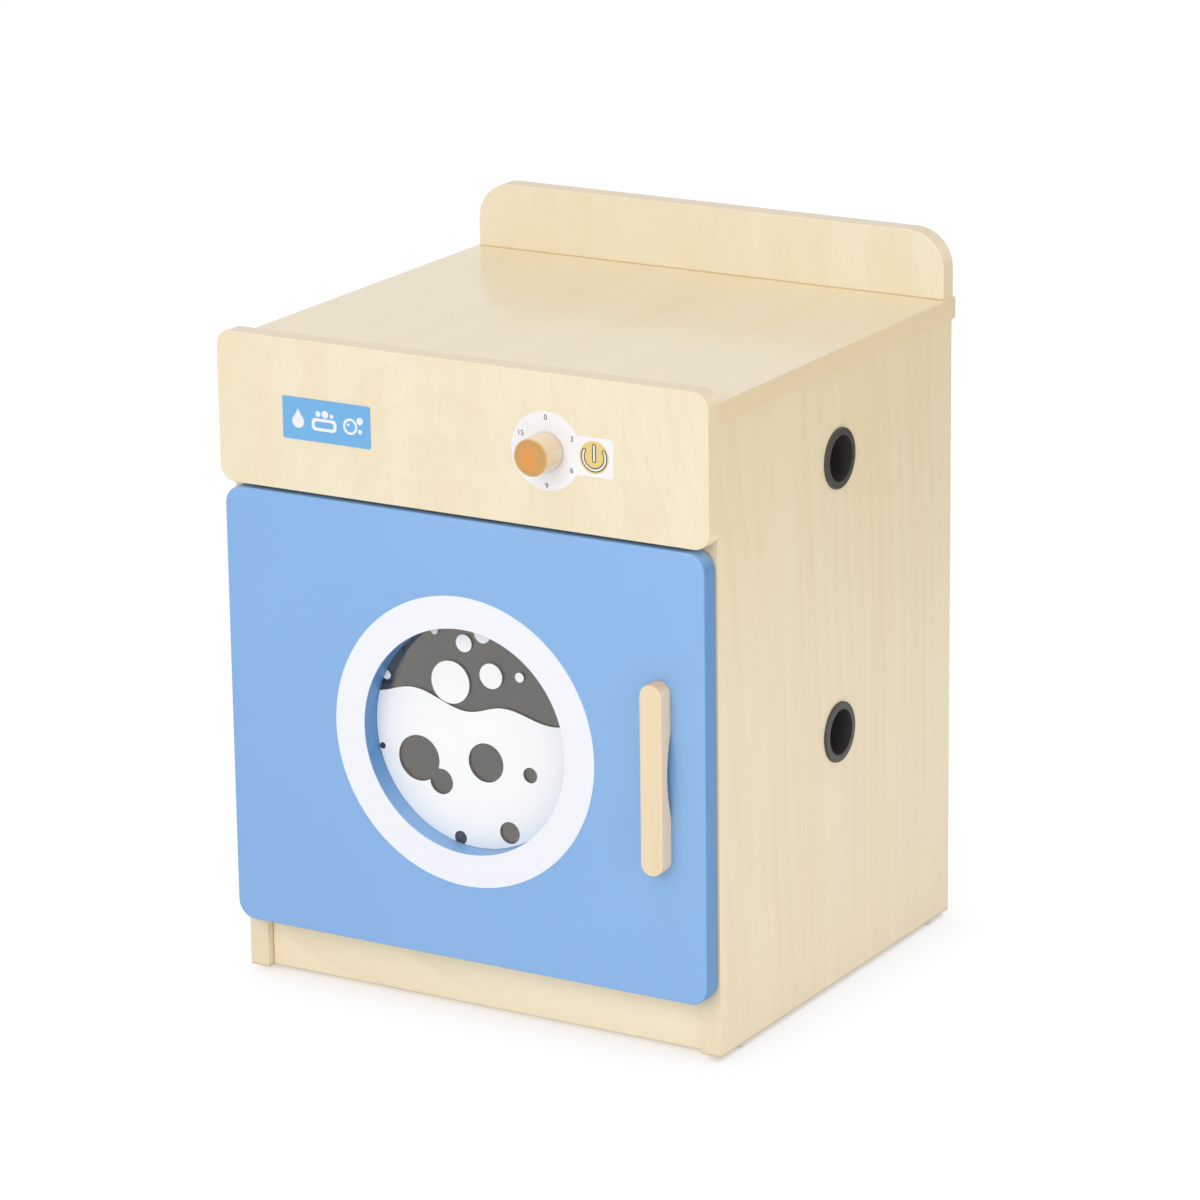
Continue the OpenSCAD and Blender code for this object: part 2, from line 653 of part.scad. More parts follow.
module knob_washer_front() color(pale_plastic) in_frame() difference() {
    rod_y(knob_x, knob_z, dial_front_y - washer_t, dial_front_y, front_washer_r);
    rod_y(knob_x, knob_z, dial_front_y - washer_t - cut, dial_front_y + cut, screw_r + run_gap);
}

module knob_washer_rear() color(steel) in_frame() difference() {
    rod_y(knob_x, knob_z, 0, rear_washer_t, rear_washer_r);
    rod_y(knob_x, knob_z, -cut, rear_washer_t + cut, screw_r + run_gap);
}

// Turned dowel knob, its front rim chamfered, with the pilot bore of its screw
module knob() color([0.90, 0.67, 0.40]) in_frame() difference() {
    union() {
        rod_y(knob_x, knob_z, knob_front_y + knob_chamfer, knob_back_y, knob_r);
        cone_y(knob_x, knob_z, knob_front_y, knob_front_y + knob_chamfer, knob_r - knob_chamfer, knob_r);
    }
    rod_y(knob_x, knob_z, knob_back_y - knob_screw_depth, knob_back_y + cut, screw_r + fit_gap);
}

// Screw from behind, its pan head running on the rear washer
module knob_screw() color(zinc) in_frame() {
    rod_y(knob_x, knob_z, knob_back_y - knob_screw_depth, rear_washer_t + end_play + fit_gap, screw_r);
    rod_y(knob_x, knob_z, rear_washer_t + end_play, rear_washer_t + end_play + knob_head_h, knob_head_r);
}

module door_panel() color(door_blue) in_frame() difference() {
    eased_board(door_left, door_right, door_bottom, door_top, door_front_y, door_back_y,
        door_corner_r, door_ease);
    rod_y(window_x, window_z, door_front_y - cut, door_back_y + cut, window_r, $fn = 128);
    for (z = hinge_zs)
        hinge_recess(z, door_back_y + cut, hinge_axis_y - leaf_split - leaf_t, hinge_axis_y, -1);
    hinge_pilots(hinge_axis_y - leaf_split - hinge_screw_len, hinge_axis_y - leaf_split - leaf_t + cut);
    for (p = pane_screw_spots)
        rod_y(p[0], p[1], door_back_y + pane_t - pane_screw_len, door_back_y + cut, small_screw_r + fit_gap);
    for (s = [-1, 1])
        rod_y(handle_x, handle_z + s * handle_screw_step / 2, door_front_y - cut, door_back_y + cut,
            screw_r + fit_gap);
    for (s = [-1, 1])
        rod_y(catch_mid_x, catch_z + s * strike_screw_step / 2, door_back_y - strike_screw_depth,
            door_back_y + cut, small_screw_r + fit_gap);
}

module window_ring() color(print_white) in_frame() difference() {
    rod_y(window_x, window_z, door_front_y - ring_t, door_front_y, window_r + ring_w, $fn = 128);
    rod_y(window_x, window_z, door_front_y - ring_t - cut, door_front_y + cut, window_r, $fn = 128);
}

module window_pane() color([0.75, 0.80, 0.82, 0.35]) in_frame() difference() {
    rod_y(window_x, window_z, door_back_y, door_back_y + pane_t, window_r + pane_lap, $fn = 128);
    for (p = pane_screw_spots)
        rod_y(p[0], p[1], door_back_y - cut, door_back_y + pane_t + cut, small_screw_r + fit_gap);
}

// Crests and troughs of the water line, as shares of the window's radius from its centre
water_marks = [[-1, 0.27], [-0.63, 0.35], [-0.08, 0.21], [0.285, 0.29], [0.76, 0.20], [1, 0.23]];

// Height of the water line at x, eased from each crest to the next trough
function water_line(x, i = 0) =
    x <= water_marks[i + 1][0] || i == len(water_marks) - 2
    ? let (a = water_marks[i], b = water_marks[i + 1], t = (x - a[0]) / (b[0] - a[0]))
        a[1] + (b[1] - a[1]) * (1 - cos(180 * t)) / 2
    : water_line(x, i + 1);

// Bubbles as shares of the window's radius: [x, z, radius]
air_bubbles = [[-0.242, 0.448, 0.19], [0.164, 0.56, 0.112], [-0.10, 0.813, 0.078], [0.447, 0.59, 0.043],
    [0.085, 0.92, 0.08], [-0.395, 0.888, 0.036], [-0.886, 0.42, 0.04]];
water_bubbles = [[-0.573, -0.28, 0.205], [-0.351, -0.457, 0.115], [0.10, -0.221, 0.174],
    [0.539, -0.264, 0.069], [0.326, -0.813, 0.098], [-0.168, -0.935, 0.061], [-0.942, -0.225, 0.029]];

// The print: the water with clear bubbles in it, and white bubbles in the clear air
module window_print() color(print_white) in_frame() {
    print_r = window_r - 0.3;
    translate([window_x, 0, window_z]) slab(door_back_y - print_t, door_back_y) intersection() {
        circle(print_r, $fn = 128);
        union() {
            difference() {
                polygon([[-window_r, -window_r],
                    for (k = [0 : 40]) let (x = k / 20 - 1) window_r * [x, water_line(x)],
                    [window_r, -window_r]]);
                for (b = water_bubbles) translate(window_r * [b[0], b[1]]) circle(window_r * b[2]);
            }
            for (b = air_bubbles) translate(window_r * [b[0], b[1]]) circle(window_r * b[2]);
        }
    }
}

module pane_screws() color(zinc) in_frame() for (p = pane_screw_spots) {
    rod_y(p[0], p[1], door_back_y + pane_t - pane_screw_len, door_back_y + pane_t + fit_gap, small_screw_r);
    rod_y(p[0], p[1], door_back_y + pane_t, door_back_y + pane_t + small_head_h, small_head_r);
}

// Depth of the finger cut at t, from -1 at its lower end to 1 at its upper end
function finger_cut(t) = finger_depth * pow(max(0, 1 - t * t), 1.25);

// Wooden handle: round ends, eased edges, and a long shallow cut for the fingers behind it
module door_handle() color(beech) in_frame() difference() {
    end_r = handle_w / 2;
    z0 = handle_z - handle_len / 2 + end_r;
    z1 = handle_z + handle_len / 2 - end_r;
    cut_z = handle_z + finger_rise;
    union() {
        eased_bar(handle_x - end_r, handle_x + end_r, z0, z1, handle_front_y, door_front_y, handle_ease);
        for (z = [z0, z1]) eased_disc(handle_x, z, handle_front_y, door_front_y, end_r, handle_ease);
    }
    translate([handle_x - handle_w, 0, 0]) rotate([90, 0, 90]) linear_extrude(2 * handle_w) polygon([
        [door_front_y + cut, cut_z - finger_len / 2],
        for (k = [-1 : 0.0625 : 1]) [door_front_y - finger_cut(k), cut_z + k * finger_len / 2],
        [door_front_y + cut, cut_z + finger_len / 2]]);
    for (s = [-1, 1])
        rod_y(handle_x, handle_z + s * handle_screw_step / 2, door_front_y - handle_screw_depth,
            door_front_y + cut, screw_r + fit_gap);
}

// Pan-head screws through the door into the handle
module handle_screws() color(zinc) in_frame() for (s = [-1, 1]) {
    z = handle_z + s * handle_screw_step / 2;
    rod_y(handle_x, z, door_front_y - handle_screw_depth, door_back_y + fit_gap, screw_r);
    rod_y(handle_x, z, door_back_y, door_back_y + pan_head_h, pan_head_r);
}

// One leaf with its own knuckles: plate from y0 to y1, first knuckle at step first, every second one
module hinge_leaf(z, y0, y1, first) difference() {
    union() {
        board([leaf_start_x, y0, z - hinge_len / 2], [leaf_end_x, y1, z + hinge_len / 2]);
        for (k = [first : 2 : knuckle_count - 1]) {
            z0 = z - hinge_len / 2 + k * knuckle_step + knuckle_gap / 2;
            z1 = z0 + knuckle_step - knuckle_gap;
            rod_z(hinge_axis_x, hinge_axis_y, z0, z1, knuckle_r);
            board([hinge_axis_x, y0, z0], [leaf_start_x + cut, y1, z1]);
        }
    }
    rod_z(hinge_axis_x, hinge_axis_y, z - hinge_len / 2 - cut, z + hinge_len / 2 + cut, pin_r + run_gap);
    for (s = [-1, 0, 1])
        rod_y(hinge_screw_x, z + s * hinge_screw_step, y0 - cut, y1 + cut, small_screw_r + fit_gap);
}

module hinge_leaves_cabinet() color(steel) in_frame() for (z = hinge_zs) difference() {
    hinge_leaf(z, hinge_axis_y + leaf_split, hinge_axis_y + leaf_split + leaf_t, 0);
    for (s = [-1, 0, 1])
        cone_y(hinge_screw_x, z + s * hinge_screw_step, hinge_axis_y + leaf_split,
            hinge_axis_y + leaf_split + leaf_t, small_head_r + fit_gap, small_screw_r + fit_gap);
}

module hinge_leaves_door() color(steel) in_frame() for (z = hinge_zs) difference() {
    hinge_leaf(z, hinge_axis_y - leaf_split - leaf_t, hinge_axis_y - leaf_split, 1);
    for (s = [-1, 0, 1])
        cone_y(hinge_screw_x, z + s * hinge_screw_step, hinge_axis_y - leaf_split - leaf_t,
            hinge_axis_y - leaf_split, small_screw_r + fit_gap, small_head_r + fit_gap);
}

// Headed pins, fixed in the cabinet leaves' knuckles
module hinge_pins() color(steel) in_frame() for (z = hinge_zs) {
    rod_z(hinge_axis_x, hinge_axis_y, z - hinge_len / 2 - pin_head_h / 2,
        z + hinge_len / 2 + pin_head_h / 2, pin_r);
    for (e = [z - hinge_len / 2 - pin_head_h + knuckle_gap / 2, z + hinge_len / 2 - knuckle_gap / 2])
        rod_z(hinge_axis_x, hinge_axis_y, e, e + pin_head_h, pin_head_r);
}

// Countersunk screws, heads flush with the faces that the leaves turn to each other
module hinge_screws_cabinet() color(zinc) in_frame() for (z = hinge_zs, s = [-1, 0, 1]) {
    face = hinge_axis_y + leaf_split;
    rod_y(hinge_screw_x, z + s * hinge_screw_step, face + leaf_t / 2, face + hinge_screw_len, small_screw_r);
    cone_y(hinge_screw_x, z + s * hinge_screw_step, face, face + leaf_t, small_head_r, small_screw_r);
}

module hinge_screws_door() color(zinc) in_frame() for (z = hinge_zs, s = [-1, 0, 1]) {
    face = hinge_axis_y - leaf_split;
    rod_y(hinge_screw_x, z + s * hinge_screw_step, face - hinge_screw_len, face - leaf_t / 2, small_screw_r);
    cone_y(hinge_screw_x, z + s * hinge_screw_step, face - leaf_t, face, small_screw_r, small_head_r);
}

// Housing of the magnetic catch, open at the front for the magnet
module catch_housing() color(pale_plastic) in_frame() difference() {
    board([inner_x - catch_w, catch_front_y, catch_z - catch_len / 2],
        [inner_x, catch_front_y + catch_depth, catch_z + catch_len / 2]);
    pocket_x = magnet_t / 2 + pole_t + fit_gap;
    board([catch_mid_x - pocket_x, catch_front_y - cut, catch_z - magnet_len / 2 - fit_gap],
        [catch_mid_x + pocket_x, catch_front_y + magnet_depth, catch_z + magnet_len / 2 + fit_gap]);
    for (s = [-1, 1])
        rod_x(catch_screw_y, catch_z + s * catch_screw_step / 2, inner_x - catch_w - cut, inner_x + cut,
            small_screw_r + fit_gap);
}

// Magnet block between two steel pole plates that stand proud of it
module catch_magnet() color(black_plastic) in_frame() {
    board([catch_mid_x - magnet_t / 2, catch_front_y, catch_z - magnet_len / 2],
        [catch_mid_x + magnet_t / 2, catch_front_y + magnet_depth, catch_z + magnet_len / 2]);
    for (x = [catch_mid_x - magnet_t / 2 - pole_t, catch_mid_x + magnet_t / 2])
        board([x, pole_y, catch_z - magnet_len / 2],
            [x + pole_t, catch_front_y + magnet_depth, catch_z + magnet_len / 2]);
}

module catch_screws() color(zinc) in_frame() for (s = [-1, 1]) {
    z = catch_z + s * catch_screw_step / 2;
    rod_x(catch_screw_y, z, inner_x - catch_w - fit_gap, inner_x + catch_screw_depth, small_screw_r);
    rod_x(catch_screw_y, z, inner_x - catch_w - small_head_h, inner_x - catch_w, small_head_r);
}

module strike_plate() color(steel) in_frame() difference() {
    board([catch_mid_x - strike_w / 2, door_back_y, catch_z - strike_len / 2],
        [catch_mid_x + strike_w / 2, strike_back_y, catch_z + strike_len / 2]);
    for (s = [-1, 1]) {
        z = catch_z + s * strike_screw_step / 2;
        rod_y(catch_mid_x, z, door_back_y - cut, strike_back_y + cut, small_screw_r + fit_gap);
        cone_y(catch_mid_x, z, door_back_y, strike_back_y, small_screw_r + fit_gap, small_head_r + fit_gap);
    }
}

module strike_screws() color(zinc) in_frame() for (s = [-1, 1]) {
    z = catch_z + s * strike_screw_step / 2;
    rod_y(catch_mid_x, z, door_back_y - strike_screw_depth, strike_back_y - strike_t / 2, small_screw_r);
    cone_y(catch_mid_x, z, door_back_y, strike_back_y, small_screw_r, small_head_r);
}

side_panel_left();
side_panel_right();
top_panel();
bottom_panel();
back_panel();
kickboard();
fascia_panel();
splash_board();
fascia_battens();
fascia_screws();
batten_screws();
splash_screws();
back_screws();
top_dowels();
bottom_dowels();
kick_dowels();
top_cams();
top_cam_bolts();
bottom_cams();
bottom_cam_bolts();
grommets_left();
grommets_right();
glides();
glide_nails();
label_plate();
dial_plate();
power_disc();
knob_sleeve();
knob_washer_front();
knob_washer_rear();
knob();
knob_screw();
door_panel();
window_ring();
window_pane();
window_print();
pane_screws();
door_handle();
handle_screws();
hinge_leaves_cabinet();
hinge_leaves_door();
hinge_pins();
hinge_screws_cabinet();
hinge_screws_door();
catch_housing();
catch_magnet();
catch_screws();
strike_plate();
strike_screws();
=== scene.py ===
# Toy washing machine for a play kitchen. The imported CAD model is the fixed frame, and each section below
# takes one piece in the order in which the object is put together: what it is made of, its finish, and
# the small parts on it that the CAD leaves plain. Sizes are metres, x to the right and y to the back.
import math
import bmesh
import bpy
from mathutils import Matrix, Vector


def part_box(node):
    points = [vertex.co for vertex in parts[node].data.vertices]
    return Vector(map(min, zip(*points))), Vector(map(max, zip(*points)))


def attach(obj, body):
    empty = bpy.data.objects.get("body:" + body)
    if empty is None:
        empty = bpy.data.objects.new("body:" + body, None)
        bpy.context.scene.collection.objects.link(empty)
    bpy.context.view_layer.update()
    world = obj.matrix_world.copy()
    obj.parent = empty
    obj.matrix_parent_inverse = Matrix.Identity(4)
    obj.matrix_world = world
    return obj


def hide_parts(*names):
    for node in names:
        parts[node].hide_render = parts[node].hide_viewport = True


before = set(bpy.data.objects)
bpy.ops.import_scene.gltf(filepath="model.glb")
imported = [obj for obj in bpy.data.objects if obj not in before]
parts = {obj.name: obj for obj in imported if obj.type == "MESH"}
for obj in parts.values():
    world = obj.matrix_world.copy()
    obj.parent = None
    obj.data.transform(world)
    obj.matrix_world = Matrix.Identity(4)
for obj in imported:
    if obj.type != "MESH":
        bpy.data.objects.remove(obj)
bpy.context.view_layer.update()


# SIDE PANELS. Two upright chipboard boards, 16 mm thick, faced with pale maple-look laminate whose grain
# runs up and down, and edged with a 1 mm plastic band of the same look, a little warmer in colour.
# Cams and dowels join them to the top, the bottom panel and the kickboard.
def new_finish(name):
    """A new material, its node tree and its surface shader."""
    made = bpy.data.materials.new(name)
    made.use_nodes = True
    return made, made.node_tree, made.node_tree.nodes["Principled BSDF"]


def feed(tree, socket, value):
    """Links a socket to another, or sets it to a plain value. A colour may leave out its fourth number."""
    if isinstance(value, bpy.types.NodeSocket):
        tree.links.new(value, socket)
    elif socket.type == "RGBA":
        socket.default_value = (*value[:3], 1.0)
    else:
        socket.default_value = value


def add(tree, kind, fields=None, **sockets):
    """Adds a node. Fields are its settings. A socket goes by its name, or by _ and its number."""
    made = tree.nodes.new(kind)
    for field, value in (fields or {}).items():
        setattr(made, field, value)
    for socket, value in sockets.items():
        key = int(socket[1:]) if socket[0] == "_" else socket.replace("_", " ")
        feed(tree, made.inputs[key], value)
    return made


def place_on(tree):
    """The point on the object that is being coloured, in metres."""
    return add(tree, "ShaderNodeTexCoord").outputs["Object"]


def facing(tree):
    """The way that the surface faces there, as separate X, Y and Z."""
    normal = add(tree, "ShaderNodeTexCoord").outputs["Normal"]
    return add(tree, "ShaderNodeSeparateXYZ", Vector=normal).outputs


def reckon(tree, operation, *values, clamp=False):
    """What the operation makes of the values."""
    numbered = {"_" + str(k): value for k, value in enumerate(values)}
    fields = {"operation": operation, "use_clamp": clamp}
    return add(tree, "ShaderNodeMath", fields, **numbered).outputs["Value"]


def spread(tree, value, low, high, out_low=0.0, out_high=1.0):
    """Brings the range from low to high onto the range from out_low to out_high, and stays within it."""
    return add(tree, "ShaderNodeMapRange", Value=value, From_Min=low, From_Max=high, To_Min=out_low,
               To_Max=out_high).outputs["Result"]


def between(tree, share, low, high):
    """The value at a share of the way from low to high."""
    return spread(tree, share, 0.0, 1.0, low, high)


def tint(tree, share, first, second, way="MIX"):
    """A share of the second colour over the first."""
    mixed = add(tree, "ShaderNodeMix", {"data_type": "RGBA", "blend_type": way}, Factor=share, _6=first,
                _7=second)
    return mixed.outputs[2]


def grain(tree, along, shift, across, length, detail, low, high):
    """Noise drawn out along the grain. Across and length are its cycles in a metre across and along the
    grain. The part of the noise from low to high becomes 0 to 1."""
    stretch = [across] * 3
    stretch["XYZ".index(along)] = length
    laid = add(tree, "ShaderNodeMapping", Vector=place_on(tree), Location=shift, Scale=stretch)
    streaks = add(tree, "ShaderNodeTexNoise", Vector=laid.outputs["Vector"], Scale=1.0, Detail=detail,
                  Roughness=0.55, Distortion=0.35)
    return spread(tree, streaks.outputs["Fac"], low, high)


def pointed_arches(tree, along, face, heart, short):
    """Plain-sawn figure: stretched, bent rings that show as long pointed arches, sharp on one side."""
    stretch = [9.0 * short ** 0.4] * 3
    stretch["XYZ".index(along)] = 1.5 * short
    stretch["XYZ".index(face)] = 0.0
    laid = add(tree, "ShaderNodeMapping", Vector=place_on(tree), Location=heart, Scale=stretch)
    rings = add(tree, "ShaderNodeTexWave",
                {"wave_type": "RINGS", "rings_direction": "SPHERICAL", "wave_profile": "SAW"},
                Vector=laid.outputs["Vector"], Scale=2.2, Distortion=3.4, Detail=2.0, Detail_Scale=1.2,
                Detail_Roughness=0.45)
    return rings.outputs["Fac"]


def lay_finish(tree, shader, colour, roughness, relief=None, strength=0.0, depth=0.0003):
    """Gives the surface its colour and roughness and, from a relief, its fine bumps."""
    feed(tree, shader.inputs["Base Color"], colour)
    feed(tree, shader.inputs["Roughness"], roughness)
    if relief is not None:
        bump = add(tree, "ShaderNodeBump", Strength=strength, Distance=depth, Height=relief)
        feed(tree, shader.inputs["Normal"], bump.outputs["Normal"])


laminate_pale = (0.846, 0.753, 0.565)
laminate_streak = (0.824, 0.718, 0.506)
laminate_vein = (0.74, 0.58, 0.37)
floor_contact_shade = (0.74, 0.75, 0.76)
band_colour = (0.905, 0.735, 0.477)


def maple_laminate(name, along, face, shift, flames=0.03, pale=laminate_pale, streak=laminate_streak,
                   shine=0.32, tooth=0.08, short=1.0, pores=0.09, band=band_colour, upper_light_tint=None,
                   crown_shade=None, heart=None):
    """Printed maple look. Along is the axis of the grain, and face the axis that the broad faces look along.
    Flames and pores say how strongly the arches and the short dashes show, short how far the figure is
    drawn together, and heart shifts the arches. Shine is the least roughness, and tooth what the fibres
    add to it. The upper light tint is painted light that makes the upper part warmer, and crown is the
    colour of a band that faces up, a darker, greyer copy of the band painted as shade."""
    made, tree, shader = new_finish(name)
    broad = grain(tree, along, shift, across=30.0, length=2.2 * short, detail=2.0, low=0.38, high=0.66)
    fibre = grain(tree, along, shift, across=380.0, length=9.0 * short, detail=2.0, low=0.42, high=0.72)
    dashes = grain(tree, along, shift, across=760.0, length=26.0 * short ** 0.5, detail=1.0, low=0.64,
                   high=0.72)
    patch = grain(tree, along, shift, across=9.0, length=3.0, detail=1.0, low=0.36, high=0.56)
    rings = pointed_arches(tree, along, face, heart or [part * 0.37 for part in shift], short)
    sheet = tint(tree, broad, pale, streak)
    streaky = reckon(tree, "MULTIPLY", fibre, between(tree, patch, 0.02, 0.07))
    sheet = tint(tree, streaky, sheet, laminate_vein)
    sheet = tint(tree, between(tree, dashes, 0.0, pores), sheet, laminate_vein)
    arch = reckon(tree, "MULTIPLY", patch, spread(tree, rings, 0.25, 1.0, 0.0, flames))
    sheet = tint(tree, arch, sheet, laminate_vein)
    height = add(tree, "ShaderNodeSeparateXYZ", Vector=place_on(tree)).outputs["Z"]
    # Painted light: the upper part is tinted warmer, as warmer light falls there
    if upper_light_tint:
        sheet = tint(tree, spread(tree, height, 0.15, 0.42), sheet, upper_light_tint, "MULTIPLY")
    turned = facing(tree)
    # Painted shade: a band that faces up takes the crown's darker, greyer colour
    if crown_shade:
        band = tint(tree, spread(tree, turned["Z"], 0.50, 0.95), band, crown_shade)
    band = tint(tree, between(tree, fibre, 0.0, 0.10), band, laminate_vein)
    on_edge = spread(tree, reckon(tree, "ABSOLUTE", turned[face]), 0.93, 0.88)
    sheet = tint(tree, on_edge, sheet, band)
    # Painted shade: the lowest 2 mm of a board that stands near the floor are darker, as in the shade where
    # it meets the floor
    sheet = tint(tree, spread(tree, height, 0.0060, 0.0046), sheet, floor_contact_shade, "MULTIPLY")
    lay_finish(tree, shader, sheet, between(tree, fibre, shine, shine + tooth), fibre, tooth / 2)
    return made


def dress(node, made):
    slots = parts[node].data.materials
    slots.clear()
    slots.append(made)


weld_within = 0.00001


def weld(node):
    """Joins the faces of a node, whose mesh comes with each face apart."""
    joined = parts[node].modifiers.new("joined faces", "WELD")
    joined.merge_threshold = weld_within


def ease_edges(node, radius):
    weld(node)
    flat = parts[node].modifiers.new("flat faces", "DECIMATE")
    flat.decimate_type = "DISSOLVE"
    flat.angle_limit = math.radians(1)
    eased = parts[node].modifiers.new("eased edges", "BEVEL")
    eased.width = radius
    eased.segments = 3
    eased.limit_method = "ANGLE"
    eased.angle_limit = math.radians(50)
    eased.use_clamp_overlap = False
    eased.harden_normals = True


# Painted light: the side faces are tinted warmer toward the top, as warmer light falls on their upper part
side_pale = (0.912, 0.790, 0.580)
side_streak = (0.895, 0.760, 0.537)
side_upper_light_tint = (1.0, 0.995, 0.915)
side_band = (0.862, 0.724, 0.498)
for node, shift in (("side_panel_left", (3.1, 0.4, 1.7)), ("side_panel_right", (0.2, 5.3, 0.9))):
    dress(node, maple_laminate(node + " laminate", "Z", "X", shift, flames=0.16, pale=side_pale,
                               streak=side_streak, pores=0.15, band=side_band, upper_light_tint=side_upper_light_tint))
    ease_edges(node, radius=0.0005)


# BACK PANEL. A 4 mm fibreboard sheet faced like the boards but matte, let into rebates in the side
# panels' rear edges and held by small pan-head screws.
def matte_sheet(name, along, shift, colour, streak):
    made, tree, shader = new_finish(name)
    fibre = grain(tree, along, shift, across=300.0, length=6.0, detail=3.0, low=0.35, high=0.7)
    broad = grain(tree, along, shift, across=26.0, length=2.0, detail=2.0, low=0.35, high=0.7)
    sheet = tint(tree, between(tree, broad, 0.0, 0.6), colour, streak)
    sheet = tint(tree, between(tree, fibre, 0.0, 0.25), sheet, streak)
    lay_finish(tree, shader, sheet, roughness=0.62, relief=fibre, strength=0.08, depth=0.0004)
    return made


back_pale = (0.80, 0.68, 0.47)
back_streak = (0.72, 0.58, 0.37)
dress("back_panel", matte_sheet("back sheet", "Z", (7.0, 2.0, 4.0), back_pale, back_streak))


def mottle(tree, place, fineness, detail):
    """Even noise, with so many cycles in a metre."""
    return add(tree, "ShaderNodeTexNoise", Vector=place, Scale=fineness, Detail=detail).outputs["Fac"]


def metal_skin(name, colour, roughness):
    """Plated or cast metal, faintly clouded in colour and gloss."""
    made, tree, shader = new_finish(name)
    cloud = mottle(tree, place_on(tree), 900.0, 3.0)
    gloss = spread(tree, cloud, 0.3, 0.7, roughness - 0.06, roughness + 0.08)
    lay_finish(tree, shader, tint(tree, cloud, colour, [part * 0.86 for part in colour]), gloss)
    shader.inputs["Metallic"].default_value = 1.0
    return made


zinc_grey = (0.62, 0.62, 0.62)
zinc = metal_skin("zinc plating", zinc_grey, roughness=0.34)
screw_sides = 32
cross_quarters = ((1, 0), (0, 1), (-1, 0), (0, -1))
head_flatness = 0.00001
widest_head = 0.0085


def head_groups(points, out):
    """The points on the heads' outer faces, one list for each head."""
    far = max(point.dot(out) for point in points)
    heads = []
    for point in [point for point in points if point.dot(out) > far - head_flatness]:
        mates = next((head for head in heads if (head[0] - point).length < widest_head), None)
        if mates is None:
            heads.append([point])
        else:
            mates.append(point)
    return heads


def round_loop(mesh, place, radius, height):
    """A round of points about a screw's axis."""
    loop = []
    for k in range(screw_sides):
        angle = 2 * math.pi * k / screw_sides
        spoke = Vector((radius * math.cos(angle), radius * math.sin(angle), height))
        loop.append(mesh.verts.new(place @ spoke))
    return loop


def cross_loop(mesh, place, arm, half, height):
    """The twelve corners of a cross, from its arms' length and half width."""
    loop = []
    for c, s in cross_quarters:
        for x, y in ((arm, -half), (arm, half), (half, half)):
            loop.append(mesh.verts.new(place @ Vector((x * c - y * s, x * s + y * c, height))))
    return loop


def wall(mesh, low, high, smooth):
    for k in range(len(low)):
        after = (k + 1) % len(low)
        mesh.faces.new((low[k], low[after], high[after], high[k])).smooth = smooth


def edges_round(mesh, loop):
    return [mesh.edges.get((loop[k], loop[(k + 1) % len(loop)])) for k in range(len(loop))]


def add_screw(mesh, place, head_r, head_h, shank_r, length, flush):
    """One screw, whose head's top lies at the place and looks along its z."""
    if flush:
        head = [(head_r, -head_h * 0.06), (head_r * 0.97, 0.0)]
    else:
        head = [(head_r, -head_h), (head_r, -head_h * 0.55), (head_r * 0.94, -head_h * 0.30),
                (head_r * 0.82, -head_h * 0.11), (head_r * 0.68, 0.0)]
    profile = [(shank_r, -length), (shank_r, -head_h)] + head
    rings = [round_loop(mesh, place, radius, height) for radius, height in profile]
    mesh.faces.new(rings[0][::-1])
    for low, high in zip(rings, rings[1:]):
        wall(mesh, low, high, True)
    arm, half, depth, taper = head_r * 0.60, head_r * 0.13, head_h * 0.65, 0.66
    mouth = cross_loop(mesh, place, arm, half, 0.0)
    foot = cross_loop(mesh, place, arm * taper, half * taper, -depth)
    wall(mesh, mouth, foot, False)
    mesh.faces.new(foot)
    rim = edges_round(mesh, rings[-1]) + edges_round(mesh, mouth)
    bmesh.ops.triangle_fill(mesh, edges=rim, use_beauty=True)


def new_piece(name, data, made, body):
    """Makes a piece of a mesh, which rides on a body and takes its finish from a slot."""
    data.materials.clear()
    data.materials.append(made)
    piece = bpy.data.objects.new(name, data)
    bpy.context.scene.collection.objects.link(piece)
    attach(piece, body)
    return piece


def cross_screws(name, node, body, outs, size, flush=False):
    """Steel screws with a cross recess in place of a node's plain ones. Outs are the ways the heads face,
    and size is the height of the head and the radius of the shank."""
    head_h, shank_r = size
    mesh = bmesh.new()
    for out in [Vector(way) for way in outs]:
        # Screws that face two ways have their heads toward the object's middle
        points = [v.co for v in parts[node].data.vertices if len(outs) == 1 or v.co.dot(out) < 0]
        length = max(point.dot(out) for point in points) - min(point.dot(out) for point in points)
        for head in head_groups(points, out):
            centre = sum(head, Vector()) / len(head)
            head_r = max((point - centre).length for point in head)
            spot = Vector([(min(p[i] for p in head) + max(p[i] for p in head)) / 2 for i in range(3)])
            place = Matrix.Translation(spot) @ out.to_track_quat("Z", "Y").to_matrix().to_4x4()
            # Each screw came to rest at a turn of its own
            last_turn = spot.x * 97.0 + spot.z * 61.0
            place = place @ Matrix.Rotation(last_turn, 4, "Z")
            add_screw(mesh, place, head_r, head_h, shank_r, length, flush)
    bmesh.ops.recalc_face_normals(mesh, faces=mesh.faces)
    data = bpy.data.meshes.new(name)
    mesh.to_mesh(data)
    mesh.free()
    piece = new_piece(name, data, zinc, body)
    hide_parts(node)


small_screw = (0.0012, 0.0014)
cross_screws("back_screw_heads", "back_screws", "cabinet", [(0, 1, 0)], small_screw)


# BOTTOM PANEL AND KICKBOARD. Boards of the same laminate between the sides. The kickboard stands 6 mm
# behind the front edges and has its grain lying along it, with the arches of a plain-sawn board.
dress("bottom_panel", maple_laminate("bottom laminate", "X", "Z", (1.4, 0.8, 2.2)))
ease_edges("bottom_panel", radius=0.0006)
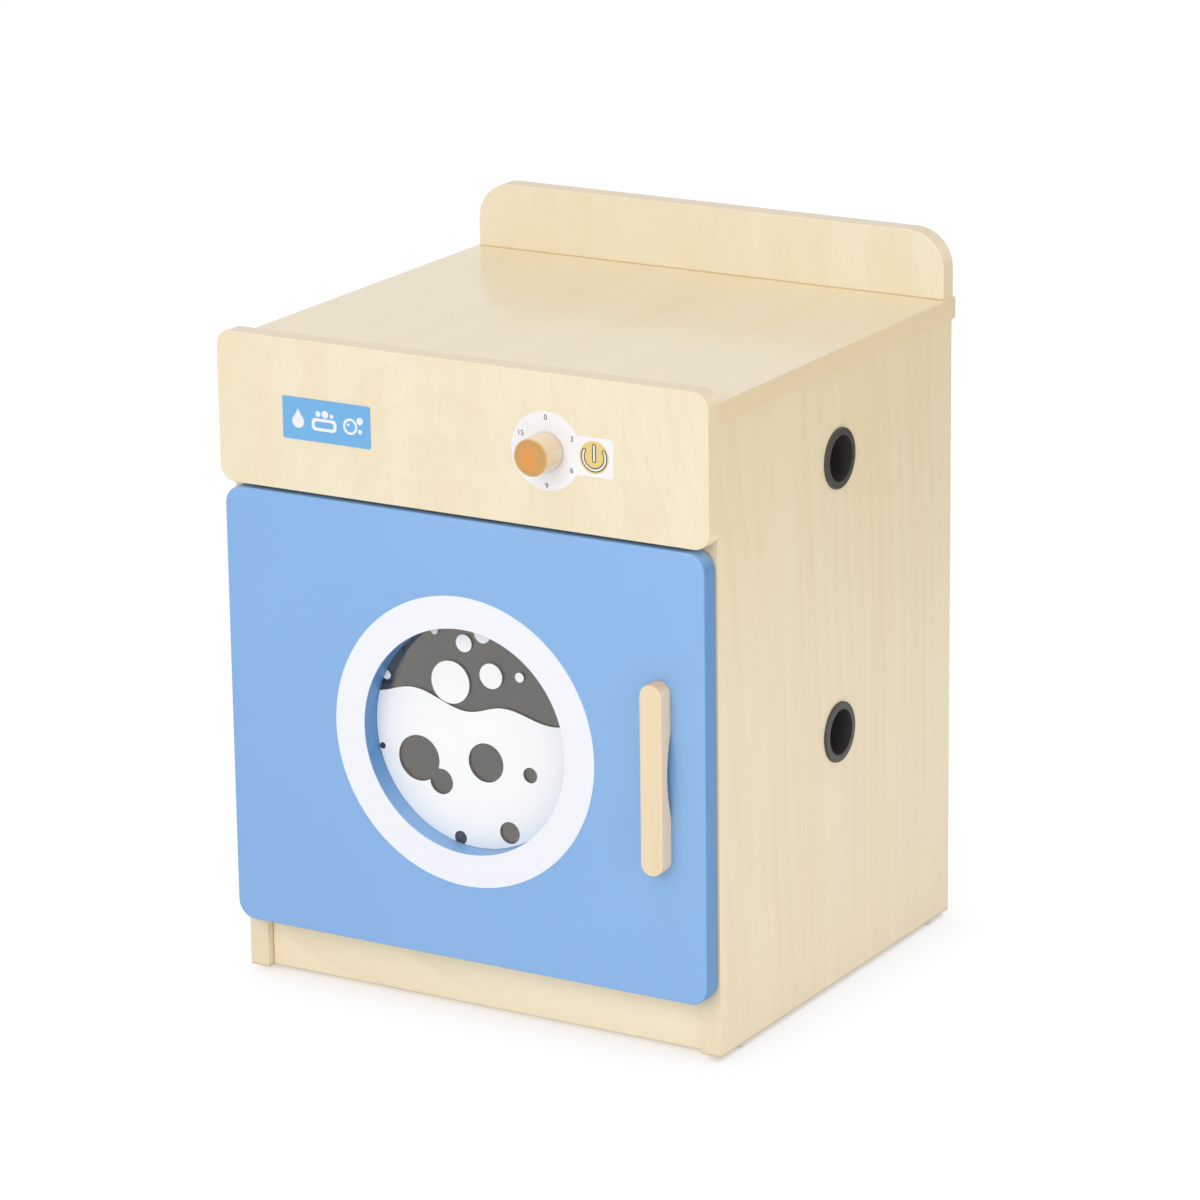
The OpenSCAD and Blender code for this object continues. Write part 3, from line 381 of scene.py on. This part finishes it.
# Painted light: the kickboard's laminate is a lighter copy, standing in for light that reaches it under the
# door
kick_pale_lit = (0.960, 0.838, 0.605)
kick_streak_lit = (0.945, 0.805, 0.563)
kick_heart = (-0.16, 0.12, -0.30)
dress("kickboard", maple_laminate("kickboard laminate", "X", "Y", (0.9, 6.1, 0.35), flames=0.17,
                                  pale=kick_pale_lit, streak=kick_streak_lit, short=0.9, heart=kick_heart))
ease_edges("kickboard", radius=0.0008)


# DOWELS, CAMS AND CAM BOLTS. Fluted beech dowels and quick-fit cams in cast zinc, turned with a
# screwdriver from inside and below. They pull the boards together and sit flush with them.
def bare_wood(name, along, shift, colour, streak, roughness):
    made, tree, shader = new_finish(name)
    fibre = grain(tree, along, shift, across=520.0, length=14.0, detail=3.0, low=0.35, high=0.7)
    broad = grain(tree, along, shift, across=90.0, length=5.0, detail=3.0, low=0.35, high=0.7)
    wood = tint(tree, broad, colour, streak)
    wood = tint(tree, between(tree, fibre, 0.0, 0.30), wood, streak)
    lay_finish(tree, shader, wood, between(tree, fibre, roughness, roughness + 0.1), fibre, strength=0.15)
    return made


beech = (0.78, 0.58, 0.36)
beech_streak = (0.66, 0.45, 0.25)
cast_grey = (0.50, 0.50, 0.51)
nickel_grey = (0.72, 0.71, 0.69)
for node, along in (("top_dowels", "Z"), ("bottom_dowels", "X"), ("kick_dowels", "X")):
    dress(node, bare_wood(node + " beech", along, (2, 1, 0), beech, beech_streak, roughness=0.6))
cast_zinc = metal_skin("cast zinc", cast_grey, roughness=0.46)
nickel = metal_skin("nickel plating", nickel_grey, roughness=0.19)
for node in ("top_cams", "bottom_cams"):
    dress(node, cast_zinc)
for node in ("top_cam_bolts", "bottom_cam_bolts"):
    dress(node, nickel)


# TOP PANEL. The same board laid flat over the sides, its grain running from front to back. Its laminate
# has the smoother face of a worktop, so it shows a soft sheen and the splash board's reflection.
top_pale = (0.853, 0.740, 0.526)
top_streak = (0.836, 0.713, 0.485)
dress("top_panel", maple_laminate("top laminate", "Y", "Z", (2.2, 0.3, 1.1), flames=0.05, pale=top_pale,
                                  streak=top_streak, shine=0.16, tooth=0.02))
ease_edges("top_panel", radius=0.0004)


# GLIDES. Domed feet of pale hard plastic, one near each corner of the cabinet. Each is nailed up into the
# lower edge of a side panel and keeps the board off a wet floor.
def moulded_plastic(name, colour, roughness, grit=0.03):
    made, tree, shader = new_finish(name)
    place = place_on(tree)
    cloud = mottle(tree, place, 60.0, 2.0)
    pits = mottle(tree, place, 2600.0, 1.0)
    gloss = spread(tree, pits, 0.3, 0.7, roughness - 0.04, roughness + 0.05)
    lay_finish(tree, shader, tint(tree, cloud, colour, [part * 0.93 for part in colour]), gloss, pits,
               strength=grit, depth=0.0002)
    return made


pale_resin = (0.74, 0.74, 0.72)
pale_plastic = moulded_plastic("pale moulded plastic", pale_resin, roughness=0.38)
dress("glides", pale_plastic)
dress("glide_nails", nickel)


# GROMMETS. Black moulded rings that line the holes through the side panels. The flange lies on the
# outside, finely textured, and the sleeve runs through to the inner face.
black_resin = (0.055, 0.052, 0.049)
black_plastic = moulded_plastic("black moulded plastic", black_resin, roughness=0.42, grit=0.12)
dress("grommets_left", black_plastic)
dress("grommets_right", black_plastic)


# FASCIA AND BATTENS. The control panel is a board with rounded corners that hides the joint of the sides
# and the top. Its edge band is painted darker and greyer along the upper edge, a shaded copy of the band
# for the light that falls there from above. Two planed beech battens carry it.
front_band = (0.905, 0.745, 0.500)
# Painted shade: the darker, greyer copy of the band for edges that face up
grey_crown_shade = (0.790, 0.665, 0.480)
board_screw = (0.0022, 0.0020)
dress("fascia_panel", maple_laminate("fascia laminate", "Z", "Y", (0.6, 3.9, 0.45), flames=0.14, short=3.5,
                                     pores=0.25, band=front_band, crown_shade=grey_crown_shade))
dress("fascia_battens", bare_wood("batten beech", "Z", (5, 2, 1), beech, beech_streak, roughness=0.55))
cross_screws("fascia_screw_heads", "fascia_screws", "cabinet", [(0, 1, 0)], board_screw)
cross_screws("batten_screw_heads", "batten_screws", "cabinet", [(-1, 0, 0), (1, 0, 0)], board_screw)


# SPLASH BOARD. A low board with well-rounded upper corners, standing along the back edge of the top
# and held by countersunk screws from below.
splash_pale = (0.870, 0.797, 0.620)
splash_streak = (0.847, 0.760, 0.555)
dress("splash_board", maple_laminate("splash laminate", "Z", "Y", (4.4, 1.2, 0.8), flames=0.06,
                                     pale=splash_pale, streak=splash_streak, short=3.0, band=front_band,
                                     crown_shade=grey_crown_shade))
cross_screws("splash_screw_heads", "splash_screws", "cabinet", [(0, 0, -1)], board_screw, flush=True)


# LABEL. A blue printed vinyl plate at the left of the fascia, about as high as the dial's tab. Printed on
# it in white are a water drop, a bar of soap with suds above it, and a few bubbles.
def printed_vinyl(name, colour, roughness=0.32):
    made, tree, shader = new_finish(name)
    place = place_on(tree)
    cloud = mottle(tree, place, 35.0, 3.0)
    ripple = mottle(tree, place, 240.0, 1.0)
    gloss = spread(tree, cloud, 0.3, 0.7, roughness - 0.04, roughness + 0.04)
    lay_finish(tree, shader, tint(tree, cloud, colour, [part * 0.985 for part in colour]), gloss, ripple,
               strength=0.02, depth=0.0004)
    return made


def turn_to_front(drawn, x, y, z, made, body):
    """Makes a piece of a flat drawing, stood up at a place so that it faces the front."""
    holder = bpy.data.objects.new(drawn.name, drawn)
    data = bpy.data.meshes.new_from_object(holder)
    data.transform(Matrix.Rotation(math.pi / 2, 4, "X"))
    data.transform(Matrix.Translation((x, y, z)))
    bpy.data.objects.remove(holder)
    new_piece(drawn.name, data, made, body)


def flat_print(name, outlines, front_y, thick, made):
    """A thin printed shape on the cabinet. Outlines are loops in x and z, and one in another is a hole."""
    drawn = bpy.data.curves.new(name, "CURVE")
    drawn.dimensions = "2D"
    drawn.fill_mode = "BOTH"
    drawn.extrude = thick / 2
    for outline in outlines:
        loop = drawn.splines.new("POLY")
        loop.points.add(len(outline) - 1)
        for point, (x, z) in zip(loop.points, outline):
            point.co = (x, z, 0.0, 1.0)
        loop.use_cyclic_u = True
    turn_to_front(drawn, 0.0, front_y + thick / 2, 0.0, made, "cabinet")


def ring_points(x, z, radius, count=64, start=0.0, sweep=360.0):
    """Points on a circle, or on the arc that sweeps from a start angle."""
    steps = count if sweep == 360.0 else count + 1
    return [(x + radius * math.cos(math.radians(start + sweep * k / count)),
             z + radius * math.sin(math.radians(start + sweep * k / count))) for k in range(steps)]


def drop_points(x, z, radius, tall):
    """A water drop: a round belly that draws up to a point."""
    belly = ring_points(x, z, radius, 40, 150.0, 240.0)
    tip = (x, z + tall - radius)
    shoulder = (x + radius * 0.30, z + radius * 1.15)
    steps = 9
    side = []
    for k in range(1, steps):
        t = k / steps
        pull = (1 - t) ** 2, 2 * t * (1 - t), t ** 2
        side.append(tuple(pull[0] * belly[-1][i] + pull[1] * shoulder[i] + pull[2] * tip[i] for i in (0, 1)))
    mirrored = [(2 * x - side_x, side_z) for side_x, side_z in reversed(side)]
    return belly + side + [tip] + mirrored


def bar_points(x, z, wide, tall, corner):
    """A bar with round corners."""
    loop = []
    for turn, (side, level) in enumerate(((1, 1), (-1, 1), (-1, -1), (1, -1))):
        middle_x, middle_z = x + side * (wide / 2 - corner), z + level * (tall / 2 - corner)
        loop += ring_points(middle_x, middle_z, corner, 8, 90.0 * turn, 90.0)
    return loop


label_low, label_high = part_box("label_plate")
label_x, label_z = (label_low.x + label_high.x) / 2, (label_low.z + label_high.z) / 2
label_ink_lift, label_ink_thick = 0.00006, 0.00012
drop_x, drop_z, drop_radius, drop_tall = label_x - 0.0240, label_z - 0.0020, 0.0050, 0.0145
soap_x, soap_z = label_x - 0.0020, label_z - 0.0026
soap_outer = {"wide": 0.0210, "tall": 0.0092, "corner": 0.0034}
soap_inner = {"wide": 0.0160, "tall": 0.0046, "corner": 0.0018}
bubble_x, bubble_z, bubble_outer, bubble_inner = label_x + 0.0202, label_z - 0.0008, 0.0060, 0.0042
# Each of these has its place to the right of and above the label's middle, and its radius
suds = ((-0.0070, 0.0052, 0.0021), (-0.0010, 0.0054, 0.0028), (0.0046, 0.0046, 0.0016))
small_bubbles = ((0.0284, 0.0040, 0.0027), (0.0283, -0.0038, 0.0017), (0.0186, 0.0004, 0.0011))
label_blue = (0.153, 0.420, 0.735)
white_ink = (0.82, 0.83, 0.86)
dress("label_plate", printed_vinyl("label blue vinyl", label_blue))
print_white = printed_vinyl("white print", white_ink)


def small_rings(spots):
    return [ring_points(label_x + x, label_z + z, radius, 40) for x, z, radius in spots]


motifs = [drop_points(drop_x, drop_z, drop_radius, drop_tall)]
motifs += [bar_points(soap_x, soap_z, **soap_outer), bar_points(soap_x, soap_z, **soap_inner)]
motifs += small_rings(suds)
motifs += [ring_points(bubble_x, bubble_z, bubble_outer), ring_points(bubble_x, bubble_z, bubble_inner)]
motifs += small_rings(small_bubbles)
flat_print("label_bubbles", motifs, label_low.y - label_ink_lift, label_ink_thick, print_white)


# DIAL AND POWER DISC. A white vinyl sticker round the knob, with plain grey minute numbers and a tab to
# the right. The yellow disc on the tab carries a printed on-off mark: a white open ring and bar, outlined.
dial_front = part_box("dial_plate")[0].y
knob_low, knob_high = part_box("knob")
axis_x, axis_z = (knob_low.x + knob_high.x) / 2, (knob_low.z + knob_high.z) / 2
dial_white = (0.87, 0.86, 0.875)
grey_ink = (0.045, 0.047, 0.055)
dress("dial_plate", printed_vinyl("dial white vinyl", dial_white))
number_grey = printed_vinyl("number grey", grey_ink)
number_tall, number_thick, number_lift = 0.0056, 0.0001, 0.00004
# Each number has its place to the right of and above the knob's axis
for number, x, z in (("0", -0.0003, 0.0239), ("3", 0.0207, 0.0108), ("6", 0.0203, -0.0117),
                     ("9", -0.0001, -0.0251), ("12", -0.0208, -0.0118), ("15", -0.0208, 0.0106)):
    digits = bpy.data.curves.new("number_" + number, "FONT")
    digits.body = number
    digits.size = number_tall
    digits.align_x, digits.align_y = "CENTER", "CENTER"
    digits.extrude = number_thick / 2
    turn_to_front(digits, axis_x + x, dial_front - number_lift, axis_z + z, number_grey, "cabinet")


def stroke_points(points, half):
    """Outline of a stroke of the given half width with round ends, along an open run of points."""
    count = len(points)
    ways = []
    for k in range(count):
        before, after = points[max(k - 1, 0)], points[min(k + 1, count - 1)]
        long = math.hypot(after[0] - before[0], after[1] - before[1])
        ways.append(((after[0] - before[0]) / long, (after[1] - before[1]) / long))
    left = [(p[0] - w[1] * half, p[1] + w[0] * half) for p, w in zip(points, ways)]
    right = [(p[0] + w[1] * half, p[1] - w[0] * half) for p, w in zip(points, ways)]

    def cap(centre, way, quarter):
        start = math.degrees(math.atan2(way[1], way[0])) + quarter
        return ring_points(centre[0], centre[1], half, 12, start, 180.0)[1:-1]
    return right + cap(points[-1], ways[-1], -90) + left[::-1] + cap(points[0], ways[0], 90)


disc_low, disc_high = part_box("power_disc")
disc_x = (disc_low.x + disc_high.x) / 2
disc_yellow = (0.775, 0.592, 0.205)
brown_ink = (0.030, 0.020, 0.012)
dress("power_disc", printed_vinyl("power yellow vinyl", disc_yellow))
line_brown = printed_vinyl("outline brown", brown_ink)
mark_radius, mark_start, mark_sweep = 0.0090, 148.5, 243.0
mark_ring = ring_points(disc_x, axis_z, mark_radius, 48, mark_start, mark_sweep)
mark_bar = [(disc_x, axis_z + height) for height in (-0.0022, 0.0030, 0.0082)]
ring_half, bar_half, outline, ink_thick = 0.00070, 0.00078, 0.00078, 0.00005
for name, grow, lift, made, slot in (("power_mark_outline", outline, 0.00004, line_brown, "black_plastic"),
                                     ("power_mark", 0.0, 0.00008, print_white, "print_white")):
    strokes = [stroke_points(mark_ring, ring_half + grow), stroke_points(mark_bar, bar_half + grow)]
    flat_print(name, strokes, disc_low.y - lift, ink_thick, made)


# KNOB. A turned hardwood dowel in warm lacquer. It runs on a plastic sleeve and washers, held by a screw
# from behind. The end grain drinks more lacquer, so the end is orange at the heart and tan at the rim.
heart_right, heart_up, heart_lean = -0.0016, -0.0010, math.radians(-14)
heart_shape = (0.85, 1.0, 1.45)
heart_reach, rim_reach, wander_reach = 0.0060, 0.0115, 0.0060
round_fineness = (200.0, 12.0, 200.0)
heart_orange = (0.755, 0.280, 0.038)
rim_tan = (0.58, 0.305, 0.075)
pore_brown = (0.40, 0.20, 0.06)
round_pale = (0.82, 0.67, 0.47)
round_streak = (0.76, 0.57, 0.36)
knob_screw = (0.0030, 0.0020)


def turned_wood(name):
    made, tree, shader = new_finish(name)
    place = place_on(tree)
    # The heart lies a little off the axis, and its orange patch is taller than it is wide
    heart = add(tree, "ShaderNodeMapping", {"vector_type": "TEXTURE"}, Vector=place,
                Location=(axis_x + heart_right, 0.0, axis_z + heart_up), Rotation=(0.0, heart_lean, 0.0),
                Scale=heart_shape)
    across = add(tree, "ShaderNodeVectorMath", {"operation": "MULTIPLY"}, _0=heart.outputs["Vector"],
                 _1=(1.0, 0.0, 1.0))
    reach = add(tree, "ShaderNodeVectorMath", {"operation": "LENGTH"}, _0=across.outputs["Vector"])
    wander = mottle(tree, place, 150.0, 3.0)
    warped = reckon(tree, "MULTIPLY_ADD", wander, wander_reach, reach.outputs["Value"])
    end_grain = tint(tree, spread(tree, warped, heart_reach, rim_reach), heart_orange, rim_tan)
    pores = spread(tree, mottle(tree, place, 1500.0, 2.0), 0.5, 0.72, 0.0, 0.25)
    end_grain = tint(tree, pores, end_grain, pore_brown)
    years = add(tree, "ShaderNodeMapping", Vector=place, Scale=round_fineness).outputs["Vector"]
    long_grain = tint(tree, spread(tree, mottle(tree, years, 1.0, 3.0), 0.35, 0.7), round_pale, round_streak)
    faces_out = reckon(tree, "ABSOLUTE", facing(tree)["Y"])
    lay_finish(tree, shader, tint(tree, spread(tree, faces_out, 0.55, 0.8), long_grain, end_grain),
               roughness=0.30)
    shader.inputs["Coat Weight"].default_value = 0.35
    shader.inputs["Coat Roughness"].default_value = 0.12
    return made


dress("knob", turned_wood("knob lacquered wood"))
dress("knob_sleeve", pale_plastic)
dress("knob_washer_front", pale_plastic)
dress("knob_washer_rear", nickel)
cross_screws("knob_screw_head", "knob_screw", "knob", [(0, 1, 0)], knob_screw)


# DOOR PANEL. A 16 mm fibreboard with rounded corners and eased edges, sprayed in satin blue lacquer.
# Its sawn edges take the lacquer deeper, so they look a shade darker than the face. The upper edge is
# painted lighter, as light as the face, for light that reaches it in the gap under the fascia. The face
# is painted lighter toward the right, where more light falls.
left_x, right_x = -0.19, 0.15
blue_left_shaded = (0.234, 0.434, 0.757)
blue_right_lit = (0.249, 0.456, 0.771)
blue_cloud = (0.950, 0.965, 0.980)
blue_edge = (0.112, 0.300, 0.605)
blue_upper_edge_lit = (0.250, 0.455, 0.780)


def sprayed_lacquer(name):
    made, tree, shader = new_finish(name)
    place = place_on(tree)
    width = add(tree, "ShaderNodeSeparateXYZ", Vector=place).outputs["X"]
    # Painted light: the face is lighter toward the right, where more light and sheen fall
    face_blue = tint(tree, spread(tree, width, left_x, right_x), blue_left_shaded, blue_right_lit)
    cloud = spread(tree, mottle(tree, place, 7.0, 3.0), 0.3, 0.7)
    face_blue = tint(tree, cloud, face_blue, blue_cloud, "MULTIPLY")
    turned = facing(tree)
    edge = spread(tree, reckon(tree, "ABSOLUTE", turned["Y"]), 0.85, 0.45)
    # Painted light: edges that face up are as light as the face, for light reaching the top edge under the
    # fascia
    edge_blue = tint(tree, spread(tree, turned["Z"], 0.3, 0.8), blue_edge, blue_upper_edge_lit)
    peel = mottle(tree, place, 420.0, 2.0)
    gloss = spread(tree, peel, 0.3, 0.7, 0.38, 0.46)
    lay_finish(tree, shader, tint(tree, edge, face_blue, edge_blue), gloss, peel, strength=0.04,
               depth=0.0004)
    return made


dress("door_panel", sprayed_lacquer("door blue lacquer"))


# WINDOW. A white vinyl ring lies round the hole in the door's face. A clear acrylic pane is screwed over
# the hole from inside, with the water line and the bubbles printed in white on its front.
ring_white = (0.850, 0.866, 0.908)
window_ink = (0.93, 0.93, 0.92)
pane_clear = (0.98, 0.98, 0.98)
pane_shadow = (0.97, 0.98, 0.98)
pane_air = 0.0001


def clear_acrylic(name):
    made, tree, shader = new_finish(name)
    lay_finish(tree, shader, pane_clear, roughness=0.02)
    shader.inputs["IOR"].default_value = 1.49
    shader.inputs["Transmission Weight"].default_value = 1.0
    shader.inputs["Coat Weight"].default_value = 0.7
    shader.inputs["Coat IOR"].default_value = 1.6
    # Light that falls through the pane onto other things goes straight on
    rays = add(tree, "ShaderNodeLightPath").outputs
    falls_through = reckon(tree, "MAXIMUM", rays["Is Shadow Ray"], rays["Is Diffuse Ray"])
    open_way = add(tree, "ShaderNodeBsdfTransparent", Color=pane_shadow)
    both = add(tree, "ShaderNodeMixShader", _0=falls_through, _1=shader.outputs["BSDF"],
               _2=open_way.outputs["BSDF"])
    feed(tree, tree.nodes["Material Output"].inputs["Surface"], both.outputs["Shader"])
    return made


dress("window_ring", printed_vinyl("ring white vinyl", ring_white, roughness=0.34))
dress("window_print", printed_vinyl("window white ink", window_ink, roughness=0.34))
dress("window_pane", clear_acrylic("clear acrylic"))
# A hair of air stays between the pane and the lacquer behind its rim, which shows through the clear sheet
weld("window_pane")
drawn_in = parts["window_pane"].modifiers.new("drawn in", "DISPLACE")
drawn_in.strength = -pane_air
drawn_in.mid_level = 0.0
cross_screws("pane_screw_heads", "pane_screws", "door", [(0, 1, 0)], small_screw)


# HANDLE. A lath of pale wood with round ends and a finger cut behind it, sanded and clear lacquered,
# held by two screws through the door.
lath_pale = (0.843, 0.692, 0.474)
lath_streak = (0.810, 0.642, 0.408)
lath_vein = (0.70, 0.50, 0.30)
lath_side_lit = (0.902, 0.695, 0.495)
lath_end = (0.82, 0.535, 0.320)


def sanded_lath(name):
    made, tree, shader = new_finish(name)
    fibre = grain(tree, "Z", (1, 2, 3), across=700.0, length=11.0, detail=3.0, low=0.35, high=0.7)
    broad = grain(tree, "Z", (4, 2, 1), across=110.0, length=5.0, detail=2.0, low=0.35, high=0.7)
    wood = tint(tree, between(tree, broad, 0.0, 0.8), lath_pale, lath_streak)
    wood = tint(tree, between(tree, fibre, 0.0, 0.18), wood, lath_vein)
    turned = facing(tree)
    # The side faces have a pinker tone of their own, and are painted lighter to stand in for the light that
    # falls on them
    wood = tint(tree, spread(tree, reckon(tree, "ABSOLUTE", turned["Y"]), 0.75, 0.35), wood, lath_side_lit)
    wood = tint(tree, spread(tree, reckon(tree, "ABSOLUTE", turned["Z"]), 0.35, 0.80), wood, lath_end)
    lay_finish(tree, shader, wood, between(tree, fibre, 0.34, 0.42))
    return made


dress("door_handle", sanded_lath("handle lacquered wood"))
cross_screws("handle_screw_heads", "handle_screws", "door", [(0, 1, 0)], board_screw)


# HINGES. Two nickel-plated butt hinges in pockets cut into the door's back and the left panel's front
# edge, with headed pins and flush screws. Only the knuckles show at the seam.
for node in ("hinge_leaves_cabinet", "hinge_leaves_door", "hinge_pins"):
    dress(node, nickel)
cross_screws("hinge_screw_heads_door", "hinge_screws_door", "door", [(0, 1, 0)], small_screw, flush=True)
cross_screws("hinge_screw_heads_cabinet", "hinge_screws_cabinet", "cabinet", [(0, -1, 0)], small_screw,
             flush=True)


# CATCH. A magnet between two steel plates in a white plastic housing, screwed inside the right panel. It
# holds a small steel strike plate that is screwed to the door's back.
ferrite_black = (0.030, 0.030, 0.033)
ferrite_grey = (0.085, 0.083, 0.082)


def pressed_ferrite(name):
    made, tree, shader = new_finish(name)
    specks = mottle(tree, place_on(tree), 1800.0, 2.0)
    lay_finish(tree, shader, tint(tree, specks, ferrite_black, ferrite_grey), roughness=0.55)
    return made


dress("catch_housing", pale_plastic)
dress("catch_magnet", pressed_ferrite("ferrite magnet"))
dress("strike_plate", nickel)
cross_screws("catch_screw_heads", "catch_screws", "cabinet", [(-1, 0, 0)], small_screw)
cross_screws("strike_screw_heads", "strike_screws", "door", [(0, 1, 0)], small_screw, flush=True)


# FLOOR, LIGHT AND CAMERA. A plain pale floor in a white room, large soft lamps in front, overhead and at
# the right, and a long lens at the height of a grown-up's chest.
floor_reach = 40.0
floor_corners = [(x * floor_reach, y * floor_reach, 0.0) for x, y in ((-1, -1), (1, -1), (1, 1), (-1, 1))]
floor_mesh = bpy.data.meshes.new("floor")
floor_mesh.from_pydata(floor_corners, [], [(0, 1, 2, 3)])
floor = bpy.data.objects.new("floor", floor_mesh)
bpy.context.scene.collection.objects.link(floor)


def curve_through(tree, value, steps):
    """Brings a value onto straight steps, each of which is a place from 0 to 1 and the value there."""
    made = add(tree, "ShaderNodeFloatCurve", Value=value)
    curve = made.mapping.curves[0]
    curve.points[0].location, curve.points[1].location = steps[0], steps[-1]
    for step in steps[1:-1]:
        curve.points.new(*step)
    for point in curve.points:
        point.handle_type = "VECTOR"
    made.mapping.update()
    return made.outputs["Value"]


def mix_values(tree, share, first, second):
    return add(tree, "ShaderNodeMix", Factor=share, _2=first, _3=second).outputs["Result"]


def seen_rays(tree, rays):
    """1 where the camera sees the surface, also in a mirror or through the pane. Otherwise 0."""
    direct_or_mirrored = reckon(tree, "MAXIMUM", rays["Is Camera Ray"], rays["Is Glossy Ray"])
    return reckon(tree, "MAXIMUM", direct_or_mirrored, rays["Is Transmission Ray"])


# The floor dims where the object stands close above it: in a thin line at the front, more softly beside
# the right panel. The steps go from a point that is shut in to an open one
shade_reach = 0.075
front_steps = ((0.0, 0.54), (0.055, 0.60), (0.095, 0.87), (0.35, 0.90), (1.0, 1.0))
side_steps = ((0.0, 0.57), (0.120, 0.63), (0.33, 0.77), (0.55, 0.90), (1.0, 1.0))
side_from, side_to = 0.185, 0.195
pool_end, dark_from, dark_level = 0.85, 1.15, 0.10
glow_level, glow_share = 1.06, 0.90
floor_pale = (0.94, 0.94, 0.94)
shade_warmth = (1.0, 0.92, 0.82)
white = (1.0, 1.0, 1.0)


def pale_ground(name):
    made, tree, shader = new_finish(name)
    lay_finish(tree, shader, floor_pale, roughness=0.8)
    rays = add(tree, "ShaderNodeLightPath").outputs
    openness = add(tree, "ShaderNodeAmbientOcclusion", {"samples": 16}, Distance=shade_reach).outputs["AO"]
    place = add(tree, "ShaderNodeSeparateXYZ", Vector=place_on(tree)).outputs
    beside = spread(tree, place["X"], side_from, side_to)
    shade = mix_values(tree, beside, curve_through(tree, openness, front_steps),
                       curve_through(tree, openness, side_steps))
    # Mirrored light sees the pool's end behind the object. Light that came through the clear pane doesn't
    pool = spread(tree, place["Y"], pool_end, dark_from, 1.0, dark_level)
    mirrored = reckon(tree, "SUBTRACT", rays["Is Glossy Ray"], rays["Is Transmission Ray"], clamp=True)
    lit = mix_values(tree, mirrored, 1.0, pool)
    level = reckon(tree, "MULTIPLY", reckon(tree, "MULTIPLY", shade, lit), glow_level)
    warmth = tint(tree, spread(tree, openness, 0.05, 0.55), shade_warmth, white)
    glow = add(tree, "ShaderNodeEmission", Color=warmth, Strength=level)
    both = add(tree, "ShaderNodeMixShader", _0=between(tree, seen_rays(tree, rays), 0.0, glow_share),
               _1=shader.outputs["BSDF"], _2=glow.outputs["Emission"])
    feed(tree, tree.nodes["Material Output"].inputs["Surface"], both.outputs["Shader"])
    return made


floor_mesh.materials.append(pale_ground("pale floor"))

room_light = 0.575
room = bpy.data.worlds.new("white room")
bpy.context.scene.world = room
room.use_nodes = True
tree = room.node_tree
ambient = tree.nodes["Background"]
feed(tree, ambient.inputs["Color"], white)
feed(tree, ambient.inputs["Strength"], room_light)
backdrop = add(tree, "ShaderNodeBackground", Color=white, Strength=1.0)
both = add(tree, "ShaderNodeMixShader", _0=seen_rays(tree, add(tree, "ShaderNodeLightPath").outputs),
           _1=ambient.outputs["Background"], _2=backdrop.outputs["Background"])
feed(tree, tree.nodes["World Output"].inputs["Surface"], both.outputs["Shader"])


def sight_line(turn, lift):
    """The way from the object to something that stands turned to the right of its front, and lifted."""
    return Vector((math.sin(turn) * math.cos(lift), -math.cos(turn) * math.cos(lift), math.sin(lift)))


middle = Vector((0.0, 0.0, 0.26))
lamps_away = 2.8
for name, turn, lift, size, level in (("front softbox", 0.0, 25.0, 2.0, 0.345),
                                      ("overhead softbox", 0.0, 78.0, 1.6, 0.180),
                                      ("side softbox", 80.0, 8.0, 2.0, 0.200)):
    lamp = bpy.data.lights.new(name, "AREA")
    lamp.shape = "SQUARE"
    lamp.size = size
    lamp.energy = level * math.pi ** 2 * lamps_away ** 2
    stand = bpy.data.objects.new(name, lamp)
    stand.location = middle + lamps_away * sight_line(math.radians(turn), math.radians(lift))
    stand.rotation_euler = (middle - stand.location).to_track_quat("-Z", "Y").to_euler()
    bpy.context.scene.collection.objects.link(stand)

# The lens and the place that the photo was taken with, solved from the object's straight edges
lens = bpy.data.cameras.new("camera")
lens.sensor_fit = "HORIZONTAL"
lens.sensor_width = 36.0
lens.lens = 160.969
camera_turn, camera_lift, camera_roll = math.radians(30.7508), math.radians(16.5177), math.radians(-0.7423)
camera_spot = (1.941845, -3.245118, 1.393541)
back = sight_line(camera_turn, camera_lift)
level_right = Vector((math.cos(camera_turn), math.sin(camera_turn), 0.0))
level_up = back.cross(level_right)
right = level_right * math.cos(camera_roll) + level_up * math.sin(camera_roll)
up = level_up * math.cos(camera_roll) - level_right * math.sin(camera_roll)
camera = bpy.data.objects.new("camera", lens)
camera.matrix_world = Matrix.Translation(camera_spot) @ Matrix((right, up, back)).transposed().to_4x4()
bpy.context.scene.collection.objects.link(camera)
bpy.context.scene.camera = camera
bpy.context.scene.view_settings.view_transform = "Standard"
